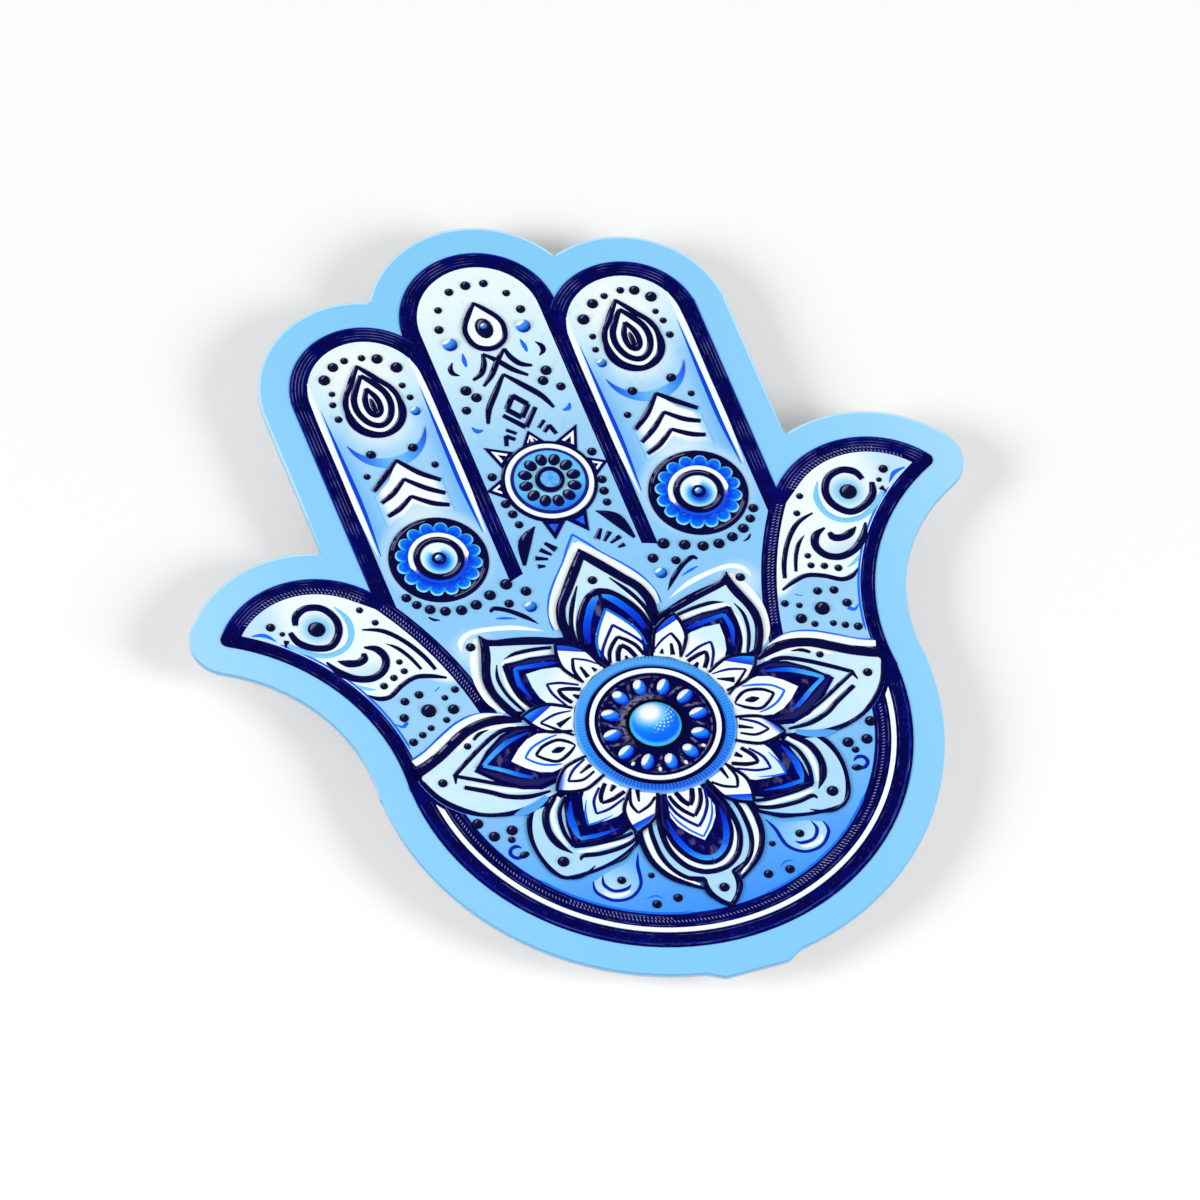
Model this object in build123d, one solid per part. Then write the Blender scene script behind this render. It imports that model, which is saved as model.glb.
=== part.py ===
from build123d import *
import os
from math import cos, radians, sin, sqrt

# Hamsa hand ornament: a layered decal, cut to a hand shape, lying on its back.
# Millimetres. X runs across the hand to its right thumb, Y towards the fingers, Z out of the face.
# The origin is under the middle of the palm rosette, on the back of the release liner.

# Sheets of the carrier, from the back to the front
LINER_T = 0.20
CARD_T = 0.50
FILM_T = 0.10
BEAD_FILMS = 3

# Hand outline, at the outer edge of the navy film
BORDER_W = 3.45
FINGER_PITCH = 15.35
MIDDLE_R = 9.0
MIDDLE_ARCH_Y = 56.6
SIDE_R = 8.6
SIDE_ARCH_Y = 51.2
PALM_R = 28.6
THUMB_X = 32.6
THUMB_Y = 18.5
THUMB_R = 11.4
THUMB_TIP_R = 0.9
THUMB_SHOULDER_X = 0.73
THUMB_SHOULDER_Y = 0.45
THUMB_CROWN_ANGLE = 128
WAIST_R = 24.0
WAIST_ANGLE = 2.7
TAB_HALF_W = 3.7
TAB_SHOULDER_W = 1.9
TAB_DROP = 0.6
TAB_CORNER_R = 1.2
TAB_ROOT_R = 2.0

# Navy bands left showing round the pale fields
FINGER_BAND_W = 2.0
THUMB_BAND_W = 2.1
WAIST_BAND_W = 1.65
PALM_RIM_W = 1.9
PINSTRIPE_W = 0.55
PALM_STITCH_W = 1.85
THUMB_SEAM_R = 45.0
THUMB_SEAM_X = 60.5
THUMB_SEAM_W = 1.75
THUMB_SEAM_IN_Y = 5.2
THUMB_SEAM_OUT_Y = 0.6
PINSTRIPE_GAP = 0.5

# Rosette
COLLAR_PALM_SHARE = 0.315
COLLAR_W = 1.35
COLLAR_H = 1.15
COLLAR_EASE = 0.4
COLLAR_HOLE_SIDES = 24
FIT = 0.03
DISH_H = 0.60
DISH_RIM_W = 0.32
DISH_RING_W = 0.54
SEED_COUNT = 12
SEED_CIRCLE_SHARE = 0.56
SEED_L = 2.0
SEED_W = 1.3
SEED_SIDE_SHARE = 0.4
SEED_H = 0.45
SEED_EASE = 0.25
DOME_SHARE = 0.32
DOME_H = 0.90
PETAL_BLUNT_R = 1.4
LEAF_HEEL_R = 6.0
LEAF_HEEL_SHARE = 0.5
LEAF_ARCH_SHARE = 1.5
LEAF_ARCH_CHORDS = 3
LEAF_ARCH_POWER = 1.74
LEAF_W = 4.3
LEAF_LINE_W = 0.5
INNER_W = 2.6
INNER_CORE_W = 1.0
INNER_CORE_SHARE = 0.775
BETWEEN_W = 1.9

# Rays of the rosette's right half in degrees, each with its reach in hundredths of the palm's radius
LEAF_RAYS = {90: 65, 43: 63.5, 0.5: 74, -41.5: 65.5, -90: 65}
INNER_RAYS = {90: 55, 42.5: 54, 0.5: 59, -41: 53.5, -90: 55}
BETWEEN_RAYS = {62: 52.5, 21: 52, -20.5: 50.5, -61.5: 51}

# Widths of the navy lines round the outer petals
PETAL_LINE_W = {"top": 0.85, "upper_right": 0.72, "right": 0.45, "lower_right": 0.4, "bottom": 0.55}

# Edges of the outer petals in hundredths of the palm's radius: root, belly, shoulder and tip
TOP_EDGE = [(11, 26.5), (19.5, 52.5), (13.5, 69), (0, 86)]
RIGHT_UPPER_EDGE = [(30, 10.5), (50.5, 20), (68, 21.5), (96, 4)]
RIGHT_LOWER_EDGE = [(30, -10.5), (50.5, -20), (68, -21.5), (96, 4)]
UPPER_DIAGONAL_EDGES = (
    [(5, 38), (22.5, 49.5), (45.5, 55.5), (51, 59.5)],
    [(36.5, 10), (55.5, 31), (53.5, 46), (51, 59.5)],
)
LOWER_DIAGONAL_EDGES = (
    [(36.5, -10.5), (60.5, -24.5), (63.5, -43), (58, -55.5)],
    [(10.5, -33), (28, -50.5), (43.5, -55.5), (58, -55.5)],
)
BOTTOM_EDGE = [(12, -26.5), (24, -51), (17, -68)]
FINIAL_EDGE = [(7, -71.5), (6.5, -78), (0, -86)]

# Eye roundels on the side fingers
EYE_Y = 27.7
EYE_R = 5.6
EYE_SCALLOP_R = 4.7
EYE_SCALLOPS = 16
EYE_SCALLOP_DEPTH = 0.5
EYE_LOBE_SHARE = 0.5
EYE_WHITE_R = 3.25
EYE_IRIS_R = 2.85
EYE_PUPIL_R = 0.7

# Sun roundel on the middle finger
SUN_Y = 33.9
SUN_R = 5.4
SUN_WHITE_R = 4.95
SUN_DISC_R = 4.3
SUN_SEEDS = 12
SUN_SEED_CIRCLE_R = 2.85
SUN_SEED_L = 1.4
SUN_SEED_W = 1.0
SUN_HUB_R = 1.65
SUN_RAY_L = 1.7
SUN_RAY_HALF_W = 1.3
DIAMOND_LIFT = 3.5
DIAMOND_HOLE_SHARE = 0.5

# Rays of the sun's right half in degrees, each with its length
SUN_RAYS = {90: SUN_RAY_L, 49: 3.0, 6: 1.8, -75: 2.3}

# Lines and drops cut from navy film
LINE_W = 0.5
DROP_LINE_W = 0.52
DROP_CORE_INSET = 2.0
DROP_WIDE_SHARE = 0.45
DROP_FLANK_SHARE = 0.66
DROP_POINT_SHARE = 2.4
SIDE_DROP_LIFT = 4.1
SIDE_DROP_L = 10.0
SIDE_DROP_HALF_W = 3.3
MIDDLE_DROP_LIFT = 11.2
MIDDLE_DROP_L = 6.8
MIDDLE_DROP_HALF_W = 2.3
CRESCENT_SINK = 0.8
CRESCENT_HALF_W = 4.6
CRESCENT_RISE = 4.2
CRESCENT_T = 1.25
CHEVRON_COUNT = 3
CHEVRON_LIFT = 3.3
CHEVRON_PITCH = 2.45
CHEVRON_TAIL = 0.9
CHEVRON_HALF_W = 3.9
CHEVRON_DROP = 2.4
CHEVRON_DROP_STEP = 0.8
CHEVRON_ELBOW_X = 0.45
CHEVRON_ELBOW_Y = 0.6
FISH_EYE_DX = -1.2
FISH_EYE_DY = 4.5
FISH_EYE_R = 2.65
FISH_EYE_START = 65
FISH_EYE_SWEEP = 290
FISH_PUPIL_R = 1.0

CARD_TOP = LINER_T + CARD_T
COLLAR_R = COLLAR_PALM_SHARE * PALM_R
UP = (0, 0, 1)


def film_z(level):
    """Underside of the film that lies on `level` other films."""
    return CARD_TOP + level * FILM_T


def film(face, level, films=1):
    """A flat face cut from film and laid on `level` films."""
    return extrude(Pos(0, 0, film_z(level)) * face, amount=films * FILM_T, dir=UP)


def mirrored(shape):
    return mirror(shape, about=Plane.YZ)


def pair(face):
    """A face of the right half with its twin on the left."""
    return face + mirrored(face)


def both_sides(name, face, level, films=1):
    """Two films from one face of the right half: the right one and its twin on the left."""
    return {
        f"right_{name}": film(face, level, films),
        f"left_{name}": film(mirrored(face), level, films),
    }


def polar(radius, degrees):
    return (radius * cos(radians(degrees)), radius * sin(radians(degrees)))


def low_dome(radius, height):
    """A round drop with a flat foot at z = 0."""
    ball_r = (radius**2 + height**2) / (2 * height)
    half_way = (radius / 2, sqrt(ball_r**2 - radius**2 / 4) - ball_r + height)
    crown = ThreePointArc((radius, 0), half_way, (0, height))
    section = make_face([Line((0, 0), (radius, 0)), crown, Line((0, height), (0, 0))])
    return revolve(Plane.XZ * section, Axis.Z)


def finger(x, arch_y, half_width):
    """A finger from the palm's middle line up to a round tip."""
    trunk = Pos(x, arch_y / 2) * Rectangle(2 * half_width, arch_y)
    return trunk + Pos(x, arch_y) * Circle(half_width)


def waist_centre():
    return polar(PALM_R + WAIST_R, WAIST_ANGLE)


def thumb(top_inset, waist_inset, tip_radius=0.0):
    """The right thumb, out to its hooked tip, with its crown and its hollow side moved inwards."""
    waist_x, waist_y = waist_centre()
    shoulder = (THUMB_X - THUMB_SHOULDER_X * THUMB_R, THUMB_Y + THUMB_SHOULDER_Y * THUMB_R)
    crown_x, crown_y = polar(THUMB_R - top_inset, THUMB_CROWN_ANGLE)
    crown = (THUMB_X + crown_x, THUMB_Y + crown_y)
    trunk = Polygon((0, 0), (waist_x, 0), (THUMB_X, THUMB_Y), crown, shoulder, align=None)
    shape = Pos(THUMB_X, THUMB_Y) * Circle(THUMB_R - top_inset) + trunk
    shape -= Pos(waist_x, waist_y) * Circle(WAIST_R + waist_inset)
    if tip_radius > 0:
        shape = fillet(shape.vertices().sort_by(Axis.X)[-1], tip_radius)
    return shape


def hand(outset):
    """The hand's outline, moved outwards all round."""
    shape = finger(0, MIDDLE_ARCH_Y, MIDDLE_R + outset) + Circle(PALM_R + outset)
    shape += pair(finger(FINGER_PITCH, SIDE_ARCH_Y, SIDE_R + outset))
    shape += pair(thumb(-outset, -outset, THUMB_TIP_R + outset))
    return shape


def carrier_outline():
    """Hand outline with its plain border, and the small tab below the palm."""
    palm_r = PALM_R + BORDER_W
    root_x = TAB_HALF_W + TAB_SHOULDER_W
    root_y = -sqrt(palm_r**2 - root_x**2)
    low_edge = [(-TAB_HALF_W, -palm_r - TAB_DROP), (TAB_HALF_W, -palm_r - TAB_DROP)]
    tab = Polygon(*low_edge, (root_x, root_y), (0, 0), (-root_x, root_y), align=None)
    tab = fillet(tab.vertices().sort_by(Axis.Y)[:2], TAB_CORNER_R)
    outline = hand(BORDER_W) + tab
    roots = [outline.vertices().sort_by_distance((x, root_y))[0] for x in (-root_x, root_x)]
    return fillet(roots, TAB_ROOT_R)


def thumb_zone():
    """All that lies above the hidden seam under the right side petal."""
    seam_x = THUMB_SEAM_X - THUMB_SEAM_R
    far = 2 * THUMB_SEAM_X
    low_edge = [(seam_x, THUMB_SEAM_IN_Y), (PALM_R, THUMB_SEAM_OUT_Y), (far, THUMB_SEAM_OUT_Y)]
    return Polygon(*low_edge, (far, far), (seam_x, far), align=None)


def thumb_side(width):
    """The thumb's side of the seam band, `width` inside the band's palm edge."""
    return Pos(THUMB_SEAM_X, 0) * Circle(THUMB_SEAM_R - width) & thumb_zone()


def percent(unit, points):
    """Points that are given in hundredths of a length."""
    return [(x * unit / 100, y * unit / 100) for x, y in points]


def petal_edge(points):
    """One side of a petal: an arc over its belly that runs on smoothly into an arc to its tip."""
    root, belly, shoulder, tip = points
    swell = ThreePointArc(root, belly, shoulder)
    return [swell, TangentArc(shoulder, tip, tangent=swell % 1)]


def petal(one_edge, other_edge):
    """A petal between two edges that run from under the collar out to one tip."""
    edges = [percent(PALM_R, one_edge), percent(PALM_R, other_edge)]
    root = Line(edges[0][0], edges[1][0])
    return make_face([*petal_edge(edges[0]), *petal_edge(edges[1]), root])


def bottom_petal():
    """The lowest petal, drawn in to a neck that carries a pointed finial."""
    side = percent(PALM_R, BOTTOM_EDGE)
    finial = percent(PALM_R, FINIAL_EDGE)
    right_half = [ThreePointArc(*side), Line(side[-1], finial[0]), ThreePointArc(*finial)]
    left_half = [mirrored(edge) for edge in right_half]
    root_x, root_y = side[0]
    return make_face([*right_half, *left_half, Line((root_x, root_y), (-root_x, root_y))])


def outer_petals():
    """Outlines of the eight outer petals, by the names of their places."""
    top = petal(TOP_EDGE, [(-x, y) for x, y in TOP_EDGE])
    right = petal(RIGHT_UPPER_EDGE, RIGHT_LOWER_EDGE)
    bottom = bottom_petal()
    upper_right = petal(*UPPER_DIAGONAL_EDGES) - top - right
    blunt = petal(*LOWER_DIAGONAL_EDGES)
    lower_right = fillet(blunt.vertices().sort_by(Axis.Y)[0], PETAL_BLUNT_R) - right - bottom
    return {
        "top": top,
        "upper_right": upper_right,
        "right": right,
        "lower_right": lower_right,
        "bottom": bottom,
        "lower_left": mirrored(lower_right),
        "left": mirrored(right),
        "upper_left": mirrored(upper_right),
    }


def leaf(tip_r, half_width, degrees):
    """A pointed arch along a ray from the rosette's middle, with straight flanks up to its shoulders."""
    arch_l = LEAF_ARCH_SHARE * half_width
    side = [(LEAF_HEEL_R, half_width * LEAF_HEEL_SHARE)]
    for i in range(LEAF_ARCH_CHORDS):
        share = i / LEAF_ARCH_CHORDS
        side.append((tip_r - arch_l * (1 - share), half_width * (1 - share**LEAF_ARCH_POWER)))
    other_side = [(x, -y) for x, y in reversed(side)]
    return Rot(0, 0, degrees) * Polygon(*side, (tip_r, 0), *other_side, align=None)


def collar_hole():
    """The films' hole for the collar, with flats that keep their distance from it."""
    return RegularPolygon(COLLAR_R + FIT, COLLAR_HOLE_SIDES, major_radius=False)


def leaf_ring(tips, half_width):
    """One leaf for each ray, as one cut film with a hole for the collar."""
    ring = Sketch()
    for degrees, tip_r in tips.items():
        ring += leaf(tip_r, half_width, degrees)
    return ring - collar_hole()


def all_rays(right_rays):
    """Rays of both halves with their reach as a length. An upright ray is its own twin."""
    rays = {}
    for degrees, share in right_rays.items():
        for turn in (degrees % 360, (180 - degrees) % 360):
            rays[turn] = share * PALM_R / 100
    return rays


def shorter(rays, cut):
    return {degrees: reach - cut for degrees, reach in rays.items()}


def drop(bottom_y, length, half_width):
    """A teardrop with its point up, on the line x = 0."""
    wide_y = bottom_y + DROP_WIDE_SHARE * length
    tip = (0, bottom_y + length)
    flank = (DROP_FLANK_SHARE * half_width, (wide_y + tip[1]) / 2)
    belly = ThreePointArc((half_width, wide_y), (0, bottom_y), (-half_width, wide_y))
    right_flank = ThreePointArc((half_width, wide_y), flank, tip)
    left_flank = ThreePointArc((-half_width, wide_y), (-flank[0], flank[1]), tip)
    return make_face([belly, right_flank, left_flank])


def nested_drop(bottom_y, length, half_width, inset):
    """A teardrop set inside another one. Its sharp point draws back further than its sides."""
    return drop(bottom_y + inset, length - DROP_POINT_SHARE * inset, half_width - inset)


def chevron(apex_y, arm_drop):
    """Points of two arms that sag from an apex on x = 0, from the right end to the left one."""
    elbow = (CHEVRON_ELBOW_X * CHEVRON_HALF_W, apex_y - CHEVRON_ELBOW_Y * arm_drop)
    end = (CHEVRON_HALF_W, apex_y - arm_drop)
    return [end, elbow, (0, apex_y), (-elbow[0], elbow[1]), (-end[0], end[1])]


def stroke(points):
    """A line of even width through the points."""
    return trace(Polyline(*points), LINE_W)


def eased_ring(outer_r, width, height, ease):
    """A ring with both top edges eased, with a flat foot at z = 0."""
    ring = extrude(Circle(outer_r) - Circle(outer_r - width), amount=height, dir=UP)
    return chamfer(ring.faces().sort_by(Axis.Z)[-1].edges(), ease)


def seed(length, width, height, ease):
    """A six-sided seed, pointed at both ends, with an eased top and a flat foot at z = 0."""
    side = (SEED_SIDE_SHARE * length / 2, width / 2)
    half = [(length / 2, 0), side, (-side[0], side[1])]
    block = extrude(Polygon(*half, *[(-x, -y) for x, y in half]), amount=height, dir=UP)
    return chamfer(block.faces().sort_by(Axis.Z)[-1].edges(), ease)


def carrier_nodes():
    """The release liner and the card, two sheets of one die-cut outline."""
    outline = carrier_outline()
    return {
        "release_liner": extrude(outline, amount=LINER_T, dir=UP),
        "base_card": extrude(Pos(0, 0, LINER_T) * outline, amount=CARD_T, dir=UP),
    }


def hand_field(petals):
    """The fingers' and palm's pale field, with lobes that carry the side petals' tips."""
    palm_r = PALM_R - PALM_RIM_W - PINSTRIPE_W - PALM_STITCH_W
    field = finger(0, MIDDLE_ARCH_Y, MIDDLE_R - FINGER_BAND_W) + Circle(palm_r)
    field += pair(finger(FINGER_PITCH, SIDE_ARCH_Y, SIDE_R - FINGER_BAND_W))
    lobes = petals["right"] + petals["left"]
    return field - pair(thumb_side(0)) + (lobes - pair(thumb_side(-FIT)))


def thumb_field():
    """The right thumb's pale field."""
    return thumb(THUMB_BAND_W, WAIST_BAND_W) & thumb_side(THUMB_SEAM_W)


def field_nodes(petals):
    """The navy hand and the pale fields and white pinstripe that lie on it."""
    side_petals = petals["right"] + petals["left"]
    stripe_r = PALM_R - PALM_RIM_W
    stripe = Circle(stripe_r) - Circle(stripe_r - PINSTRIPE_W)
    stripe &= Pos(0, -PALM_R / 2) * Rectangle(2 * PALM_R, PALM_R)
    return {
        "navy_hand": film(hand(0), 0),
        "hand_field": film(hand_field(petals), 1),
        **both_sides("thumb_field", thumb_field(), 1),
        "palm_pinstripe": film(stripe - offset(side_petals, PINSTRIPE_GAP), 1),
    }


def rosette_nodes(petals):
    """Outer petals, leaves and inner petals, each film smaller than the one under it."""
    outlines = Sketch()
    for face in petals.values():
        outlines += face
    nodes = {"petal_outlines": film(outlines - collar_hole(), 2)}
    for place, face in petals.items():
        line_w = PETAL_LINE_W[place.replace("left", "right")]
        nodes[f"petal_{place}"] = film(offset(face, -line_w) - collar_hole(), 3)

    leaves = all_rays(LEAF_RAYS)
    nodes["leaf_outlines"] = film(leaf_ring(leaves, LEAF_W), 4)
    nodes["leaf_blues"] = film(leaf_ring(shorter(leaves, LEAF_LINE_W), LEAF_W - LEAF_LINE_W), 5)

    inner = all_rays(INNER_RAYS)
    between = all_rays(BETWEEN_RAYS)
    between_cut = leaf_ring(shorter(between, -FIT), BETWEEN_W + FIT)
    core_reach = {degrees: INNER_CORE_SHARE * reach for degrees, reach in inner.items()}
    nodes["inner_petals"] = film(leaf_ring(inner, INNER_W), 6)
    nodes["inner_petal_cores"] = film(leaf_ring(core_reach, INNER_CORE_W) - between_cut, 7)
    nodes["between_petals"] = film(leaf_ring(between, BETWEEN_W), 7)
    return nodes


def boss_nodes():
    """The rosette's middle: a collar round a navy dish with its ring, seeds and dome."""
    foot = film_z(2)
    dish_top = foot + DISH_H
    dish_r = COLLAR_R - COLLAR_W - FIT
    ring_r = dish_r - DISH_RIM_W
    ring = Circle(ring_r) - Circle(ring_r - DISH_RING_W)
    one_seed = Pos(SEED_CIRCLE_SHARE * COLLAR_R, 0, dish_top) * seed(SEED_L, SEED_W, SEED_H, SEED_EASE)
    seeds = [Rot(0, 0, 360 * i / SEED_COUNT) * one_seed for i in range(SEED_COUNT)]
    return {
        "rosette_collar": Pos(0, 0, foot) * eased_ring(COLLAR_R, COLLAR_W, COLLAR_H, COLLAR_EASE),
        "rosette_dish": extrude(Pos(0, 0, foot) * Circle(dish_r), amount=DISH_H, dir=UP),
        "rosette_ring": extrude(Pos(0, 0, dish_top) * ring, amount=FILM_T, dir=UP),
        "rosette_seeds": Compound(children=seeds),
        "rosette_dome": Pos(0, 0, dish_top) * low_dome(DOME_SHARE * COLLAR_R, DOME_H),
    }


def eye_nodes(side, x):
    """An eye roundel: discs stacked from the rim to the pupil."""
    centre = Pos(x, EYE_Y)
    step = 360 / EYE_SCALLOPS
    lobes = []
    for i in range(EYE_SCALLOPS):
        lobes.append(polar(EYE_SCALLOP_R - EYE_SCALLOP_DEPTH, (i - 0.5) * step))
        lobes.append(polar(EYE_SCALLOP_R, (i - EYE_LOBE_SHARE / 2) * step))
        lobes.append(polar(EYE_SCALLOP_R, (i + EYE_LOBE_SHARE / 2) * step))
    return {
        f"{side}_eye_rim": film(centre * Circle(EYE_R), 2),
        f"{side}_eye_scallops": film(centre * Polygon(*lobes, align=None), 3),
        f"{side}_eye_white": film(centre * Circle(EYE_WHITE_R), 4),
        f"{side}_eye_iris": film(centre * Circle(EYE_IRIS_R), 5),
        f"{side}_eye_pupil": film(centre * Circle(EYE_PUPIL_R), 6, BEAD_FILMS),
    }


def finger_nodes():
    """Teardrops, crescents and chevrons of the fingers."""
    lowest_apex = EYE_Y + EYE_R + CHEVRON_LIFT
    apexes = [lowest_apex + i * CHEVRON_PITCH for i in range(CHEVRON_COUNT)]
    crescent_y = apexes[-1] - CRESCENT_SINK
    side = (crescent_y + SIDE_DROP_LIFT, SIDE_DROP_L, SIDE_DROP_HALF_W)
    middle = (arrow_y() + MIDDLE_DROP_LIFT, MIDDLE_DROP_L, MIDDLE_DROP_HALF_W)
    drops = []
    for inset in (0, DROP_LINE_W, DROP_CORE_INSET):
        side_drop = Pos(FINGER_PITCH, 0) * nested_drop(*side, inset)
        middle_drop = nested_drop(*middle, inset * MIDDLE_DROP_HALF_W / SIDE_DROP_HALF_W)
        drops.append(pair(side_drop) + middle_drop)

    left_tip = (-CRESCENT_HALF_W, crescent_y + CRESCENT_RISE)
    right_tip = (CRESCENT_HALF_W, crescent_y + CRESCENT_RISE)
    outer = ThreePointArc(left_tip, (0, crescent_y), right_tip)
    inner = ThreePointArc(left_tip, (0, crescent_y + CRESCENT_T), right_tip)

    sags = [CHEVRON_DROP + i * CHEVRON_DROP_STEP for i in range(CHEVRON_COUNT)]
    low_edge = chevron(lowest_apex - CHEVRON_TAIL, CHEVRON_DROP)
    panel = Polygon(*chevron(apexes[-1], sags[-1]), *reversed(low_edge), align=None)
    panel -= Pos(0, EYE_Y) * Circle(EYE_R + FIT)
    chevrons = Sketch()
    for apex_y, arm_drop in zip(apexes, sags):
        chevrons += trace(Polyline(*chevron(apex_y, arm_drop)), LINE_W)
    at_finger = Pos(FINGER_PITCH, 0)
    crescent = make_face([outer, inner]) - panel
    return {
        "teardrop_lines": film(drops[0], 2),
        "teardrop_whites": film(drops[1], 3),
        "teardrop_cores": film(drops[2], 4),
        **both_sides("crescent", at_finger * crescent, 2),
        **both_sides("chevron_panel", at_finger * panel, 2),
        **both_sides("chevrons", at_finger * chevrons, 3),
    }


def arrow_y():
    """Height of the sun's top ray, from which the arrow and the middle teardrop are set out."""
    return SUN_Y + SUN_R + SUN_RAY_L


def sun_nodes():
    """The sun roundel: a rayed rim with discs, seeds and a hub stacked on it."""
    centre = Pos(0, SUN_Y)
    rays = Circle(SUN_R)
    foot = sqrt(SUN_R**2 - SUN_RAY_HALF_W**2)
    for degrees, length in SUN_RAYS.items():
        tip = (SUN_R + length, 0)
        spike = Polygon(tip, (foot, SUN_RAY_HALF_W), (0, 0), (foot, -SUN_RAY_HALF_W), align=None)
        rays += pair(Rot(0, 0, degrees) * spike)
    ends = (SUN_SEED_L / 2, SUN_SEED_W / 2)
    lozenge = Pos(SUN_SEED_CIRCLE_R, 0) * Polygon((ends[0], 0), (0, ends[1]), (-ends[0], 0), (0, -ends[1]))
    seeds = Sketch()
    for i in range(SUN_SEEDS):
        seeds += Rot(0, 0, 360 * (i + 0.5) / SUN_SEEDS) * lozenge
    return {
        "sun_rim": film(centre * rays, 2),
        "sun_white": film(centre * Circle(SUN_WHITE_R), 3),
        "sun_disc": film(centre * Circle(SUN_DISC_R), 4),
        "sun_seeds": film(centre * seeds, 5),
        "sun_hub": film(centre * Circle(SUN_HUB_R), 5, BEAD_FILMS),
    }


def line_nodes():
    """Navy lines on the middle finger, the thumbs and the palm."""
    diamond = Polygon(*percent(MIDDLE_R, [(13.5, 0), (0, 18), (-13.5, 0), (0, -18)]))
    arrow = Pos(0, DIAMOND_LIFT) * (diamond - scale(diamond, DIAMOND_HOLE_SHARE))
    for path in (
        [(0, 88), (16.5, 52), (42, 23.5)],
        [(15.5, 124.5), (4.5, 99), (-29.5, 76.5)],
        [(14, 124.5), (22, 103.5), (39, 90)],
        [(0, 5.5), (20, 31)],
    ):
        arrow += pair(trace(Polyline(*percent(MIDDLE_R, path)), LINE_W))
    eye_ring = CenterArc((FISH_EYE_DX, FISH_EYE_DY), FISH_EYE_R, FISH_EYE_START, FISH_EYE_SWEEP)
    fish = trace(eye_ring, LINE_W)
    fish += stroke(percent(THUMB_R, [(-45.5, 7), (-63, -9.5), (-46.5, -29), (-21, -22), (-7, 1)]))
    fish += stroke(percent(THUMB_R, [(-104.5, -37.5), (-87, 3.5), (-52.5, 26.5)]))
    scroll = stroke(percent(PALM_R, [(26, -52), (28.5, -61), (35, -69), (45, -68), (47.5, -60)]))
    pupil = Pos(THUMB_X + FISH_EYE_DX, THUMB_Y + FISH_EYE_DY) * Circle(FISH_PUPIL_R)
    return {
        "arrow_lines": film(Pos(0, arrow_y()) * arrow, 2),
        **both_sides("fish_lines", Pos(THUMB_X, THUMB_Y) * fish, 2),
        **both_sides("fish_pupil", pupil, 2, BEAD_FILMS),
        **both_sides("palm_scroll", scroll, 2),
    }


petal_faces = outer_petals()
nodes = carrier_nodes()
nodes.update(field_nodes(petal_faces))
nodes.update(rosette_nodes(petal_faces))
nodes.update(boss_nodes())
nodes.update(eye_nodes("right", FINGER_PITCH))
nodes.update(eye_nodes("left", -FINGER_PITCH))
nodes.update(finger_nodes())
nodes.update(sun_nodes())
nodes.update(line_nodes())

os.makedirs("parts", exist_ok=True)
for name, shape in nodes.items():
    export_step(shape, f"parts/{name}.step")
print(len(nodes), "nodes")
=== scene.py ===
import math

import bmesh
import bpy
from mathutils import Matrix, Vector


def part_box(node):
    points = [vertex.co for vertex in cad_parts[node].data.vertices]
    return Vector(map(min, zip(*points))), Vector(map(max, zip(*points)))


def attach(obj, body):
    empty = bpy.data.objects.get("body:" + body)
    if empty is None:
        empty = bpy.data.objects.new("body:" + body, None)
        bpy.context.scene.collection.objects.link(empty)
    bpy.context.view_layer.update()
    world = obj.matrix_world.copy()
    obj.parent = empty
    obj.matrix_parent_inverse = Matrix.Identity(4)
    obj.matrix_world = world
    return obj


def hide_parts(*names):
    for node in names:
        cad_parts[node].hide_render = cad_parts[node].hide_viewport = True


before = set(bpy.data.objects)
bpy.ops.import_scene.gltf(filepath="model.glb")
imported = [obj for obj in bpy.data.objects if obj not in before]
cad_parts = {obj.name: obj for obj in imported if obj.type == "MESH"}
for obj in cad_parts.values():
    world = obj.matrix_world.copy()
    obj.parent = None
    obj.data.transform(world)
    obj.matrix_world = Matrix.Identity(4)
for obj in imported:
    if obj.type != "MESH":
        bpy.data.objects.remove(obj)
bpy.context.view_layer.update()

# The scene dresses the hand-shaped decal: finishes for its films, and the fine ornament drawn on them.
# Sizes are in millimetres in the part's frame and become metres where a mesh is made.
# Most ornament is written for the hand's right half, and its twin on the left is made with it.
MM = 0.001


def top(node):
    """Height of a CAD node's upper face in millimetres."""
    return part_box(node)[1].z / MM


FIELD_Z = top("hand_field")
BAND_Z = top("navy_hand")
PETAL_Z = top("petal_top")
LEAF_Z = top("leaf_blues")
INNER_Z = top("inner_petals")
BETWEEN_Z = top("between_petals")
DISH_Z = top("rosette_dish")
EYE_RIM_Z = top("right_eye_rim")
SCALLOP_Z = top("right_eye_scallops")
IRIS_Z = top("right_eye_iris")
SUN_RIM_Z = top("sun_rim")
TEARDROP_Z = top("teardrop_whites")

# Driving places of the hand: distances, centres (x, y) and circles (x, y, radius)
PALM_R = -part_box("navy_hand")[0].y / MM
FINGER_X = 15.35
DROP_X = 15.36
EYE_Y = 27.7
SUN_Y = 33.9
ROSETTE = (0.0, 0.0)
EYE = (FINGER_X, EYE_Y)
SUN = (0.0, SUN_Y)
PALM = (*ROSETTE, PALM_R)
THUMB = (32.6, 18.5, 11.4)
WAIST = (52.54, 2.48, 24.0)
SEAM = (60.5, 0.0, 45.0)
MIDDLE_ARCH = (0.0, 56.6, 9.0)
SIDE_ARCH = (FINGER_X, 51.2, 8.6)
FINGER_EDGE = FINGER_X + SIDE_ARCH[2]
FISH_EYE = (THUMB[0] - 1.2, THUMB[1] + 4.5)
FISH_EYE_R = 1.0

# How far the painted highlight along the border's upper edge lies outside the bands
EDGE_HIGHLIGHT_OUT = 3.3

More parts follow.
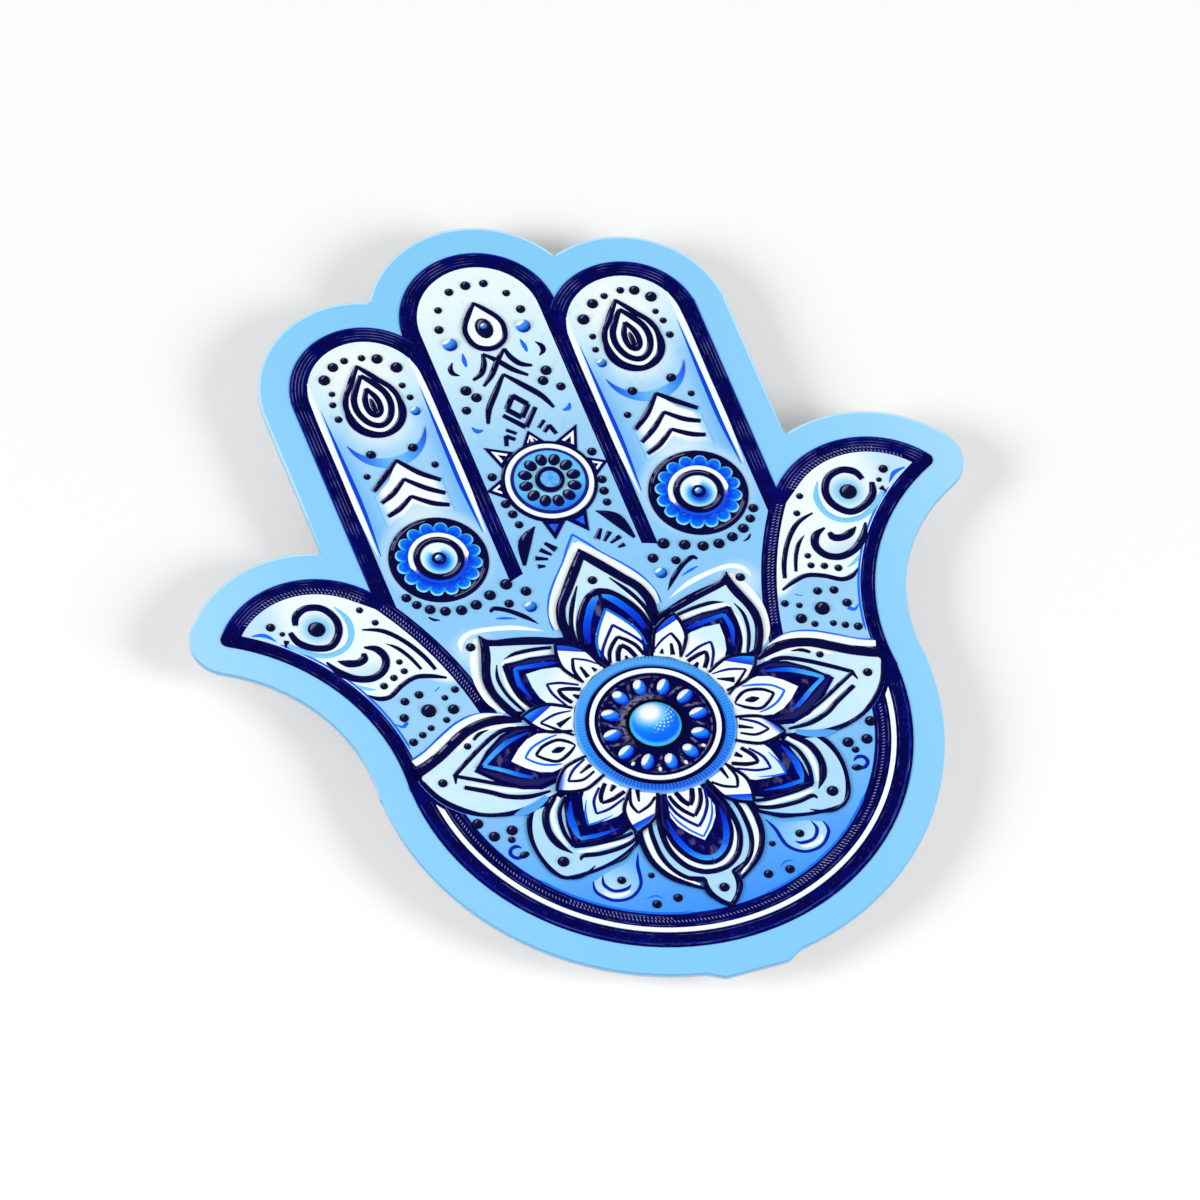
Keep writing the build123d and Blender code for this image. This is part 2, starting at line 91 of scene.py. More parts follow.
# The boss of the rosette
COLLAR_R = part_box("rosette_collar")[1].x / MM
COLLAR_W = 1.35
COLLAR_OVERHANG = 0.1
COLLAR_RIBS = 132
RIB_HALF_WIDTH = 0.11
DOME_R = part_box("rosette_dome")[1].x / MM
# Centre of the painted highlight on the dome
DOME_HIGHLIGHT = (-0.35, 1.25)
DOME_STEPS = 16
SEED_COUNT = 12
SEED_RING_R = 5.05
SPECK_RING_R = SEED_RING_R + 0.82

# Shares of the collar's height that its crown and its ribs rise to
CROWN_SHARE = 0.86
RIB_SHARE = 0.98

# Rings and discs of the eyes and the sun
EYE_RIM_R = 5.15
IRIS_RIM_R = 2.48
PUPIL_RIM_R = 0.62
PUPIL_R = 0.45
EYE_ARC_R = 3.1
LOBE_RING_R = 4.0
LOBE_COUNT = 16
SUN_RIM_R = 5.15
SUN_DISC_R = 4.18
HUB_RIM_R = 1.38
HUB_R = 1.05
SUN_SEED_RING_R = 2.8
SUN_SEED_COUNT = 12

# Half-length and half-width of oval drops
SEED_SIZE = (1.05, 0.71)
SPECK_SIZE = (0.30, 0.21)
LOBE_SIZE = (0.92, 0.82)
SUN_SEED_SIZE = (0.80, 0.66)

# Stitches on the bands, with their lean in degrees
STITCH_LENGTH = 0.38
STITCH_THICKNESS = 0.13
STITCH_LEAN = -58.0

# How far ornament that lies on other ornament is lifted above its film
FADE_LIFT = 0.1
RIM_GLINT_LIFT = 0.17
IRIS_GLINT_LIFT = 0.14
EYE_ARC_LIFT = 0.15
STRIPE_LIFT = 0.03
CREASE_LIFT = 0.06
BEAD_LIFT = 0.25

# Thickness of the thinnest plates
THIN_PLATE = 0.02

# The border sheet's eased edge: its width, and the least angle in degrees that is eased
EASE_WIDTH = 0.2
EASE_ANGLE = 50.0

# Distance within which points of a mesh are joined, in metres
WELD = 1e-6

# Directions that the painted glints on beads and on lines come from
BEAD_GLINT = Vector((-0.40, 0.62, 0.68))
LINE_GLINT = Vector((-0.25, 0.35, 0.90))


def rgb(red, green, blue):
    """A display colour from 0 to 255 as the linear colour that a shader takes."""
    linear = []
    for level in (red / 255, green / 255, blue / 255):
        linear.append(level / 12.92 if level <= 0.04045 else ((level + 0.055) / 1.055) ** 2.4)
    return (*linear, 1.0)


INK_BLACK = rgb(5, 5, 40)
WHITE = rgb(246, 255, 255)
ICE = rgb(222, 246, 255)
BRIGHT = rgb(24, 112, 246)
DEEP = rgb(10, 48, 200)
NAVY_SHADES = [rgb(1, 1, 58), rgb(2, 3, 80), rgb(3, 6, 104)]

# Blue caps of the petals in between: the petal's bearing, the way that the cap leans (both in degrees),
# where it starts that way, how soft its edge is and how far it deepens
BETWEEN_CAPS = (
    (62.0, 110.8, 8.94, 0.06, 1.1),
    (21.0, 62.1, 9.72, 0.06, 1.0),
    (-20.5, 25.9, 8.90, 0.70, 1.0),
    (-61.5, 256.0, 9.55, 0.06, 0.9),
)


class Tree:
    """A node tree under construction, for a material or for Geometry Nodes."""

    def __init__(self, tree):
        self.tree = tree

    def put(self, socket, value):
        """Gives an input a link where the value is another node's output, and a plain value otherwise."""
        source = value.socket if isinstance(value, Value) else value
        if isinstance(source, bpy.types.NodeSocket):
            self.tree.links.new(source, socket)
        else:
            socket.default_value = source

    def add(self, kind, settings=None, inputs=None):
        """Any node: its type, its settings, which are set first, and its inputs by name or number."""
        node = self.tree.nodes.new(kind)
        for name, setting in (settings or {}).items():
            setattr(node, name, setting)
        for key, value in (inputs or {}).items():
            self.put(node.inputs[key], value)
        return node

    def math(self, operation, *terms):
        node = self.add("ShaderNodeMath", {"operation": operation}, dict(enumerate(terms)))
        return Value(self, node.outputs[0])


class Value:
    """An output socket in a tree. Arithmetic on it adds Math nodes."""

    def __init__(self, owner, socket):
        self.owner = owner
        self.socket = socket

    def __add__(self, other):
        return self.owner.math("ADD", self, other)

    def __sub__(self, other):
        return self.owner.math("SUBTRACT", self, other)

    def __rsub__(self, other):
        return self.owner.math("SUBTRACT", other, self)

    def __mul__(self, other):
        return self.owner.math("MULTIPLY", self, other)

    def __truediv__(self, other):
        return self.owner.math("DIVIDE", self, other)

    def __rtruediv__(self, other):
        return self.owner.math("DIVIDE", other, self)

    def __abs__(self):
        return self.owner.math("ABSOLUTE", self)

    __radd__ = __add__
    __rmul__ = __mul__


class Finish(Tree):
    """A material: a surface shader with helpers for the nodes that paint it."""

    def __init__(self, name, rough=0.42, specular=0.22, coat=0.0):
        self.material = bpy.data.materials.new(name)
        self.material.use_nodes = True
        super().__init__(self.material.node_tree)
        self.surface = self.tree.nodes["Principled BSDF"]
        self.surface.inputs["Roughness"].default_value = rough
        self.surface.inputs["Specular IOR Level"].default_value = specular
        self.surface.inputs["Coat Weight"].default_value = coat
        self.surface.inputs["Coat Roughness"].default_value = 0.12
        self.coordinates = self.add("ShaderNodeTexCoord").outputs["Object"]

    def place(self):
        """Object coordinates X and Y in millimetres."""
        axes = self.add("ShaderNodeSeparateXYZ", inputs={0: self.coordinates}).outputs
        return [Value(self, axes[name]) / MM for name in "XY"]

    def height(self):
        """Object coordinate Z in millimetres."""
        axes = self.add("ShaderNodeSeparateXYZ", inputs={0: self.coordinates}).outputs
        return Value(self, axes["Z"]) / MM

    def facing(self):
        """The surface's direction, one value for each axis."""
        normal = self.add("ShaderNodeTexCoord").outputs["Normal"]
        return [Value(self, axis) for axis in self.add("ShaderNodeSeparateXYZ", inputs={0: normal}).outputs]

    def attribute(self, name):
        return Value(self, self.add("ShaderNodeAttribute", {"attribute_name": name}).outputs["Fac"])

    def noise(self, grain, detail=3.0, stretch=(1.0, 1.0, 1.0)):
        """Noise from 0 to 1 whose grain is given in millimetres."""
        scale = Vector(stretch) / (grain * MM)
        spread = self.add("ShaderNodeVectorMath", {"operation": "MULTIPLY"}, {0: self.coordinates, 1: scale})
        inputs = {"Vector": spread.outputs[0], "Scale": 1.0, "Detail": detail}
        cloud = self.add("ShaderNodeTexNoise", inputs=inputs)
        return Value(self, cloud.outputs["Fac"])

    def step(self, value, low, high):
        """A smooth step from 0 at `low` to 1 at `high`."""
        settings = {"interpolation_type": "SMOOTHSTEP"}
        node = self.add("ShaderNodeMapRange", settings, {0: value, 1: low, 2: high, 3: 0.0, 4: 1.0})
        return Value(self, node.outputs[0])

    def distance(self, x, y, centre):
        """Distance of a place on the hand from a centre (x, y)."""
        across = x - centre[0]
        along = y - centre[1]
        return self.math("SQRT", across * across + along * along)

    def blend(self, share, one, other):
        """Colour `one` where the share is 0 and `other` where it is 1."""
        settings = {"data_type": "RGBA", "clamp_factor": True}
        return Value(self, self.add("ShaderNodeMix", settings, {0: share, 6: one, 7: other}).outputs[2])

    def ramp(self, value, low, high, colours):
        """Colours spread evenly from `low` to `high`."""
        share = self.add("ShaderNodeMapRange", inputs={0: value, 1: low, 2: high, 3: 0.0, 4: 1.0}).outputs[0]
        node = self.add("ShaderNodeValToRGB", inputs={0: share})
        stops = node.color_ramp.elements
        while len(stops) < len(colours):
            stops.new(0.5)
        for i, colour in enumerate(colours):
            stops[i].position = i / (len(colours) - 1)
            stops[i].color = colour
        return Value(self, node.outputs[0])

    def paint(self, colour):
        self.put(self.surface.inputs["Base Color"], colour)
        return self

    def emboss(self, height, depth, strength=0.5):
        """Raises the surface by a height from 0 to 1 times a depth in millimetres."""
        inputs = {"Height": height, "Distance": depth * MM, "Strength": strength}
        self.put(self.surface.inputs["Normal"], self.add("ShaderNodeBump", inputs=inputs).outputs[0])
        return self


def liner_paper():
    """Uncoated white paper with a faint fibre, and painted shade that makes its cut side walls greyer."""
    finish = Finish("liner_paper", rough=0.8, specular=0.1)
    fibre = finish.noise(0.9, 5.0)
    sheet = finish.blend(fibre, rgb(226, 230, 234), rgb(246, 248, 250))
    # Painted shade: the side walls, which face sideways, are greyer than the sheet
    shaded_cut_edge = finish.step(abs(finish.facing()[2]), 0.7, 0.3)
    finish.paint(finish.blend(shaded_cut_edge, sheet, rgb(166, 188, 206)))
    return finish.emboss(fibre, 0.02)


def border_vinyl():
    """Light blue satin vinyl, paler towards the thumbs, with an eased edge that has a painted highlight where
    it faces up the hand and painted shade where it faces down, and its cut side wall painted darker as shade.
    """
    finish = Finish("border_vinyl", rough=0.5, specular=0.08)
    x = finish.place()[0]
    shade = finish.ramp(abs(x), 12.0, 45.0, [rgb(132, 206, 251), rgb(139, 209, 252), rgb(162, 220, 253)])
    grain = finish.noise(0.5, 4.0)
    # Painted shade: the cut side wall, below the sheet's top, is darker grey-blue
    shaded_cut_edge = finish.step(finish.height(), 0.45, 0.25)
    sheet = finish.blend(grain * 0.08, shade, rgb(178, 228, 255))
    # Painted highlight where the eased edge faces up the hand, painted shade where it faces down
    facing = finish.facing()
    edge_light_and_shade = finish.blend(finish.step(facing[1], -0.3, 0.3), rgb(104, 168, 218), rgb(206, 238, 255))
    sheet = finish.blend(finish.step(facing[2], 0.97, 0.8) * 0.85, sheet, edge_light_and_shade)
    finish.paint(finish.blend(shaded_cut_edge, sheet, rgb(150, 186, 214)))
    return finish.emboss(grain, 0.01, 0.3)


def navy_film():
    """Deep navy with brushed lighter streaks."""
    finish = Finish("navy_film", rough=0.6, specular=0.03)
    cloud = finish.noise(2.4, 4.0)
    streak = finish.step(finish.noise(0.30, 2.0, (1.0, 0.45, 1.0)), 0.62, 0.80)
    body = finish.ramp(cloud, 0.25, 0.75, NAVY_SHADES)
    finish.paint(finish.blend(streak * 0.35, body, rgb(84, 84, 140)))
    return finish.emboss(streak, 0.03)


def field_film():
    """Airbrushed field: white at the finger tips, pale blue in the palm and bright blue at its foot."""
    finish = Finish("field_film", rough=0.5, specular=0.15)
    x, y = finish.place()
    side = abs(x)
    shades = [
        rgb(62, 148, 250), rgb(100, 180, 252), rgb(134, 197, 252), rgb(142, 203, 252), rgb(142, 205, 251),
        rgb(140, 204, 251), rgb(148, 206, 249), rgb(162, 214, 250), rgb(206, 240, 253), rgb(236, 252, 254),
    ]
    colour = finish.ramp(y, -24.0, 60.0, shades)
    off_axis = abs(side - FINGER_X)
    upright = finish.step(y, 29.0, 33.0) * finish.step(y, 51.0, 44.0) * finish.step(off_axis, 7.4, 6.6)
    colour = finish.blend(finish.step(off_axis, 3.0, 6.0) * upright * 0.75, colour, rgb(96, 178, 252))
    for centre, inner, outer, strength, tint in (
        ((FINGER_X, EYE_Y + 0.6), 5.4, 7.0, 0.55, rgb(206, 238, 253)),
        ((FINGER_X, 54.0), 1.5, 6.5, 0.9, WHITE),
        ((FINGER_X, 46.8), 1.6, 4.3, 0.65, WHITE),
        ((FINGER_X, 35.6), 1.5, 4.4, 0.45, WHITE),
        ((15.6, 15.4), 1.0, 3.4, 0.6, ICE),
        ((15.0, -18.6), 0.5, 5.0, 0.15, rgb(30, 110, 245)),
    ):
        glow = finish.step(finish.distance(side, y, centre), outer, inner)
        colour = finish.blend(glow * strength, colour, tint)
    brush = finish.noise(0.55, 4.0, (1.0, 0.6, 1.0))
    finish.paint(finish.blend(finish.step(brush, 0.55, 0.85) * 0.28, colour, rgb(96, 172, 244)))
    return finish.emboss(brush, 0.03)


def drop_wash():
    """A wash that runs from the palm's blue at a drop's tip to ice blue in its bulb."""
    finish = Finish("drop_wash", rough=0.5, specular=0.1)
    x, y = finish.place()
    bulb = (12.2, -18.9)
    reach = finish.distance(abs(x), y, bulb)
    finish.paint(finish.ramp(reach, 0.4, 5.6, [rgb(188, 230, 254), rgb(142, 204, 252), rgb(92, 172, 251)]))
    return finish


def thumb_film():
    """White over the fish's head, pale blue under the wave of its gill."""
    finish = Finish("thumb_film", rough=0.5, specular=0.15)
    x, y = finish.place()
    side = abs(x)
    crest_x = 23.1
    bend = 0.805
    swing = 0.85
    level = 13.1
    wave = finish.math("COSINE", (side - crest_x) * bend) * swing + level
    head = finish.step(y - wave, -0.6, 0.5)
    body = finish.ramp(y, 3.0, 13.0, [rgb(146, 205, 250), rgb(158, 212, 251), rgb(150, 208, 251)])
    colour = finish.blend(head, body, rgb(240, 255, 255))
    beak = finish.step(side, 33.0, 37.0) * finish.step(y, 20.0, 23.0)
    colour = finish.blend(beak * 0.75, colour, rgb(178, 222, 252))
    eye_shade = (31.3, 23.05)
    glow = finish.step(finish.distance(side, y, eye_shade), 2.7, 0.8)
    colour = finish.blend(glow, colour, rgb(134, 208, 251))
    gill_shade = (28.2, 16.6)
    gill = finish.step(finish.distance(side, y, gill_shade), 2.6, 1.2) * finish.step(y, 18.0, 16.0)
    colour = finish.blend(gill * 0.45, colour, rgb(150, 208, 250))
    brush = finish.noise(0.5, 4.0)
    finish.paint(finish.blend(finish.step(brush, 0.6, 0.9) * 0.22, colour, rgb(126, 190, 246)))
    return finish.emboss(brush, 0.03)


def petal_film():
    """Ice blue petals with soft blue brushing near the rosette's middle and on the lower side."""
    finish = Finish("petal_film", rough=0.5, specular=0.15)
    x, y = finish.place()
    reach = finish.distance(x, y, ROSETTE)
    colour = finish.ramp(reach, 12.0, 26.0, [rgb(150, 210, 252), rgb(202, 238, 254), rgb(210, 241, 254)])
    low = finish.step(y, -3.0, -12.0)
    colour = finish.blend(low * 0.55, colour, rgb(146, 208, 252))
    brush = finish.noise(0.9, 4.0, (0.6, 1.0, 1.0))
    finish.paint(finish.blend(finish.step(brush, 0.5, 0.8) * 0.35, colour, rgb(176, 222, 252)))
    return finish.emboss(brush, 0.03)


def white_film():
    """Clean white with a faint brushing."""
    finish = Finish("white_film", rough=0.45, specular=0.18)
    brush = finish.noise(0.7, 3.0)
    finish.paint(finish.blend(finish.step(brush, 0.55, 0.85) * 0.25, WHITE, rgb(196, 232, 255)))
    return finish.emboss(brush, 0.02)


def inner_petal_film():
    """White petals, of which the slanted ones turn ice blue towards their tips."""
    finish = Finish("inner_petal_film", rough=0.45, specular=0.18)
    x, y = finish.place()
    reach = finish.distance(x, y, ROSETTE)
    slant = finish.step(abs(x * y) / (reach * reach), 0.25, 0.42)
    brush = finish.noise(0.7, 3.0)
    colour = finish.blend(finish.step(reach, 11.6, 13.4) * slant * 0.85, WHITE, rgb(206, 241, 254))
    finish.paint(finish.blend(finish.step(brush, 0.55, 0.85) * 0.2, colour, rgb(196, 232, 255)))
    return finish.emboss(brush, 0.02)


def capped_petal_film():
    """White petals in between, each with a bright blue cap on one side of its tip."""
    finish = Finish("capped_petal_film", rough=0.45, specular=0.18)
    x, y = finish.place()
    side = abs(x)
    bearing = finish.math("ARCTAN2", y, side)
    brush = finish.noise(0.7, 3.0)
    colour = finish.blend(finish.step(brush, 0.55, 0.85) * 0.2, WHITE, rgb(206, 240, 255))
    for degrees, lean, start, soft, depth in BETWEEN_CAPS:
        near = finish.step(abs(bearing - math.radians(degrees)), 0.34, 0.30)
        along = side * math.cos(math.radians(lean)) + y * math.sin(math.radians(lean))
        cap = finish.ramp(along, start, start + depth, [rgb(6, 40, 216), rgb(8, 84, 240), rgb(22, 146, 252)])
        colour = finish.blend(finish.step(along, start, start + soft) * near, colour, cap)
    finish.paint(colour)
    return finish.emboss(brush, 0.02)


def eye_white_film():
    """The white ring of an eye, which turns blue in its lower half."""
    finish = Finish("eye_white_film", rough=0.45, specular=0.18)
    y = finish.place()[1]
    low = finish.step(y, EYE_Y + 0.4, EYE_Y - 1.4)
    finish.paint(finish.blend(low, WHITE, rgb(6, 76, 240)))
    return finish


def blue_film(name, dark, light):
    """A blue that runs from dark to light in soft brushed patches."""
    finish = Finish(name, rough=0.4, specular=0.2)
    cloud = finish.noise(0.8, 4.0)
    finish.paint(finish.ramp(cloud, 0.3, 0.7, [dark, light]))
    return finish.emboss(cloud, 0.03)


def panel_film():
    """White behind the chevrons, fading into the finger at its sides and foot."""
    finish = Finish("panel_film", rough=0.5, specular=0.1)
    x, y = finish.place()
    spread = finish.step(abs(abs(x) - FINGER_X), 2.7, 3.9)
    foot = finish.step(y, 35.2, 33.2)
    fade = finish.math("MAXIMUM", spread, foot)
    finish.paint(finish.blend(fade, WHITE, rgb(164, 216, 251)))
    return finish


def crescent_film():
    """Deep blue at the horns, fading to sky blue at the lowest point."""
    finish = Finish("crescent_film", rough=0.45, specular=0.2)
    x = finish.place()[0]
    spread = abs(abs(x) - FINGER_X)
    finish.paint(finish.ramp(spread, 0.5, 4.5, [rgb(110, 188, 252), rgb(56, 146, 250), rgb(14, 70, 226)]))
    return finish


def iris_film():
    """Rings of an eye round its pupil: blue, pale, then a navy edge, with a painted white highlight above the
    pupil.
    """
    finish = Finish("iris_film", rough=0.35, specular=0.2)
    x, y = finish.place()
    reach = finish.distance(abs(x), y, EYE)
    glow = finish.distance(abs(x), y, (FINGER_X, EYE_Y - 0.35))
    rings = [rgb(4, 50, 190), rgb(8, 104, 232), rgb(60, 174, 250), rgb(160, 224, 254), rgb(226, 248, 255)]
    pale = finish.ramp(glow, 0.6, 1.9, rings)
    # Painted highlight: a white spot above the pupil
    shine = finish.step(finish.distance(abs(x), y, (FINGER_X, EYE_Y + 1.4)), 1.0, 0.4)
    pale = finish.blend(shine, pale, WHITE)
    finish.paint(finish.blend(finish.step(reach, 1.98, 2.12), pale, rgb(4, 5, 70)))
    return finish


def sun_film():
    """Sky blue round the hub, deeper towards the edge, with a navy line round it."""
    finish = Finish("sun_film", rough=0.4, specular=0.2)
    x, y = finish.place()
    reach = finish.distance(x, y, SUN)
    low = finish.step(y, SUN_Y - 0.4, SUN_Y - 3.8) * finish.step(reach, 2.0, 3.2)
    disc = finish.ramp(reach, 1.5, 4.0, [rgb(166, 228, 252), rgb(112, 204, 252), rgb(88, 188, 251)])
    disc = finish.blend(low * 0.9, disc, rgb(4, 112, 246))
    finish.paint(finish.blend(finish.step(reach, 3.92, 4.02), disc, rgb(4, 8, 110)))
    return finish


def hub_film():
    """The sun's hub: a blue disc inside a thick navy ring."""
    finish = Finish("hub_film", rough=0.3, specular=0.25)
    x, y = finish.place()
    reach = finish.distance(x, y, SUN)
    cloud = finish.noise(0.8)
    middle = finish.ramp(cloud, 0.3, 0.7, [rgb(60, 150, 246), rgb(120, 198, 252)])
    finish.paint(finish.blend(finish.step(reach, HUB_R, HUB_R + 0.12), middle, rgb(4, 5, 60)))
    return finish


def ink(name, body, glint, share=0.55, low=INK_BLACK):
    """A raised line of ink with a broken painted glint along the side that faces the light,
    and painted shade in the colour `low` on the side away from it.
    """
    finish = Finish(name, rough=0.6, specular=0.03)
    lit = finish.attribute("lit")
    broken = finish.step(finish.noise(1.1, 3.0), 0.40, 0.56)
    # Painted highlight: a broken pale streak where the line faces the glint
    streak = finish.step(lit, 0.945, 0.985) * broken * share
    # Painted shade: towards `low` on the side that faces away from the light
    dark = finish.blend(finish.step(lit, 0.2, -0.4), body, low)
    finish.paint(finish.blend(streak, dark, glint))
    return finish


def bead(name, low, body, glint, start=0.80, flattest=None):
    """A bead with painted shade in the colour `low` on the side away from the light and a painted glint on
    the side that faces it. `flattest` keeps the glint near the top.
    """
    finish = Finish(name, rough=0.4, specular=0.04)
    lit = finish.attribute("lit")
    # Painted shade towards `low` away from the light, then a painted highlight spot where the bead faces the
    # glint
    colour = finish.blend(finish.step(lit, -0.1, 0.75), low, body)
    spot = finish.step(lit, start, start + 0.12)
    if flattest:
        spot = spot * finish.step(finish.attribute("flat"), flattest, flattest + 0.04)
    finish.paint(finish.blend(spot, colour, glint))
    return finish


def lobe_finish():
    """Deep blue lobes with painted cyan and white highlights where their outer rims tilt."""
    finish = Finish("lobe_finish", rough=0.4, specular=0.06)
    x, y = finish.place()
    reach = finish.distance(abs(x), y, EYE)
    cloud = finish.noise(0.45, 3.0)
    body = finish.ramp(reach, 3.1, 4.7, [rgb(0, 40, 200), rgb(0, 80, 244), rgb(6, 122, 252)])
    body = finish.blend(finish.step(cloud, 0.5, 0.66) * 0.4, body, rgb(30, 144, 252))
    # Painted highlight: cyan, then white towards the tip, where the lobe's surface tilts at its outer rim
    rim = finish.step(finish.attribute("flat"), 0.98, 0.80)
    body = finish.blend(rim * finish.step(reach, 3.5, 4.2), body, rgb(30, 184, 250))
    finish.paint(finish.blend(rim * finish.step(reach, 4.15, 4.75), body, rgb(150, 236, 254)))
    return finish


def collar_finish(name, lift):
    """Deep blue at the inner side and paler outside, with painted shade below and painted light above.
    `lift` makes it paler still.
    """
    finish = Finish(name, rough=0.45, specular=0.08)
    x, y = finish.place()
    reach = finish.distance(x, y, ROSETTE)
    # Painted light and shade: deep blue at the lower side of the ring, paler at the upper side
    colour = finish.ramp(y, -COLLAR_R, COLLAR_R, [rgb(8, 96, 230), rgb(34, 146, 246), rgb(88, 178, 250)])
    rim = finish.step(reach, COLLAR_R - 0.35, COLLAR_R + 0.05)
    colour = finish.blend(rim * 0.8, colour, rgb(140, 208, 253))
    inner_side = finish.step(reach, COLLAR_R - 1.0, COLLAR_R - COLLAR_W)
    colour = finish.blend(inner_side * 0.8, colour, rgb(10, 56, 190))
    finish.paint(finish.blend(finish.noise(0.4) * lift, colour, rgb(150, 212, 254)))
    return finish


def dome_finish():
    """White where the light falls, blue below, with a cyan rim and rows of faint dimples."""
    finish = Finish("dome_finish", rough=0.3, specular=0.06, coat=0.05)
    x, y = finish.place()
    # Painted highlight: white round its centre, fading to the dome's blue
    glow = finish.distance(x, y, DOME_HIGHLIGHT)
    colours = [
        rgb(255, 255, 255), rgb(250, 254, 255), rgb(132, 212, 254), rgb(30, 150, 250), rgb(0, 118, 250),
        rgb(0, 102, 246),
    ]
    colour = finish.ramp(glow, 0.2, 3.4, colours)
    rim = finish.step(finish.distance(x, y, ROSETTE), 2.45, 2.85)
    colour = finish.blend(rim * 0.85, colour, rgb(70, 204, 250))
    bearing = finish.math("ARCTAN2", y - DOME_HIGHLIGHT[1], x - DOME_HIGHLIGHT[0])
    rows = finish.math("SINE", glow * 11.0) * finish.math("SINE", bearing * 20.0)
    belt = finish.step(glow, 1.45, 1.8) * finish.step(glow, 2.9, 2.4)
    patch = belt * finish.step(abs(bearing + 0.75), 1.1, 0.6)
    dimples = finish.step(rows, 0.25, 0.65) * patch
    finish.paint(finish.blend(dimples * 0.9, colour, rgb(214, 244, 255)))
    return finish.emboss(dimples, 0.04)


def dish_finish():
    """Navy with a black ring round the dome, and painted grey sheen: brushing beside the dome on its lit
    side, commas between the seeds and a broken line along the edge.
    """
    finish = Finish("dish_finish", rough=0.6, specular=0.03)
    x, y = finish.place()
    reach = finish.distance(x, y, ROSETTE)
    bearing = finish.math("ARCTAN2", y, x)
    cloud = finish.noise(0.5, 4.0)
    # Painted sheen: grey commas between the seeds
    curl = bearing * SEED_COUNT + (reach - SEED_RING_R) * 0.9
    between = finish.step(finish.math("COSINE", curl), -0.86, -0.99)
    belt = finish.step(reach, 3.9, 4.5) * finish.step(reach, 6.1, 5.4)
    comma = between * belt * finish.step(cloud, 0.40, 0.60)
    # Painted highlight: grey brushing beside the dome on the lit side
    lit_side = finish.step((y - x) / reach, 0.1, 1.2)
    brushed = finish.step(reach, 4.5, 3.6) * lit_side * finish.step(cloud, 0.38, 0.58)
    # Painted highlight: a broken grey line along the edge, on the lit side and the side opposite
    edge_r = 6.25
    lit_edges = finish.step(abs(y - x) / reach, 0.3, 0.9)
    edge = finish.step(abs(reach - edge_r), 0.13, 0.04) * finish.step(cloud, 0.42, 0.56) * lit_edges
    # All these grey marks are painted sheen
    grey = finish.math("MAXIMUM", finish.math("MAXIMUM", comma * 0.75, brushed * 0.8), edge * 0.6)
    colour = finish.blend(grey, rgb(3, 3, 66), rgb(134, 130, 160))
    ring = finish.step(reach, DOME_R + 0.55, DOME_R + 0.35)
    finish.paint(finish.blend(ring, colour, rgb(2, 2, 26)))
    return finish.emboss(grey, 0.08)


def leaf_core_finish():
    """Navy with scratchy grey brush marks beyond the tips of the white petals."""
    finish = Finish("leaf_core_finish", rough=0.6, specular=0.03)
    x, y = finish.place()
    reach = finish.distance(x, y, ROSETTE)
    patches = finish.step(finish.noise(1.6, 2.0), 0.50, 0.64)
    scratches = finish.step(finish.noise(0.75, 5.0, (1.0, 0.4, 1.0)), 0.44, 0.66)
    marks = patches * scratches * finish.step(reach, 13.4, 14.6) * finish.step(reach, 19.0, 17.8)
    body = finish.ramp(finish.noise(2.4, 4.0), 0.25, 0.75, NAVY_SHADES)
    finish.paint(finish.blend(marks * 0.55, body, rgb(112, 108, 148)))
    return finish.emboss(marks, 0.03)


def leaf_stripe_finish():
    """Stripes that run from navy at a leaf's foot to bright and then pale blue at its tip."""
    finish = Finish("leaf_stripe_finish", rough=0.5, specular=0.05)
    x, y = finish.place()
    reach = finish.distance(x, y, ROSETTE)
    cloud = finish.noise(0.6, 3.0)
    shades = [rgb(2, 8, 112), rgb(2, 36, 200), rgb(4, 68, 234), rgb(12, 106, 247), rgb(64, 168, 252)]
    colour = finish.ramp(reach, 11.6, 18.4, shades)
    finish.paint(finish.blend(finish.step(cloud, 0.5, 0.7) * 0.3, colour, rgb(6, 60, 226)))
    return finish


def thread_finish():
    """Navy thread with painted pale highlights in stretches, where the light catches it."""
    finish = Finish("thread_finish", rough=0.6, specular=0.03)
    # Painted highlight: pale stretches along the thread, spread by noise
    thread_sheen = finish.step(finish.noise(2.6, 3.0), 0.44, 0.66)
    finish.paint(finish.blend(thread_sheen * 0.75, rgb(2, 6, 90), rgb(104, 108, 168)))
    return finish


def line(width, *points, ends=(0.55, 0.55), closed=False, twin=True):
    """A drawn line: its width, its points, the share of its width left at its ends, whether it closes on
    itself and whether the left half has its twin.
    """
    return {"width": width, "points": points, "ends": ends, "closed": closed, "twin": twin}


def arc(circle, start, end, inset=0.0, steps=24):
    """Points along a circle (x, y, radius) between two angles in degrees, drawn in by an inset."""
    x, y, radius = circle
    points = []
    for i in range(steps + 1):
        angle = math.radians(start + (end - start) * i / steps)
        points.append((x + (radius - inset) * math.cos(angle), y + (radius - inset) * math.sin(angle)))
    return points


def ring(width, centre, radius, twin=True):
    """A closed line round a centre."""
    return line(width, *arc((*centre, radius), 0.0, 345.0), closed=True, twin=twin)


# Chevrons on the side fingers: three roofs, from the highest down
CHEVRONS = [
    line(0.58, (11.5, 37.6), (13.5, 39.2), (15.4, 41.5), ends=(0.8, 0.7)),
    line(0.58, (15.4, 41.5), (17.2, 39.9), (19.2, 38.3), ends=(0.7, 0.8)),
    line(0.58, (11.6, 35.8), (13.5, 37.1), (15.4, 38.9), ends=(0.8, 0.7)),
    line(0.58, (15.4, 38.9), (17.2, 37.4), (18.9, 36.6), ends=(0.7, 0.8)),
    line(0.58, (11.7, 34.2), (13.5, 35.0), (15.4, 36.5), ends=(0.8, 0.7)),
    line(0.58, (15.4, 36.5), (17.2, 35.3), (18.8, 34.7), ends=(0.7, 0.8)),
]

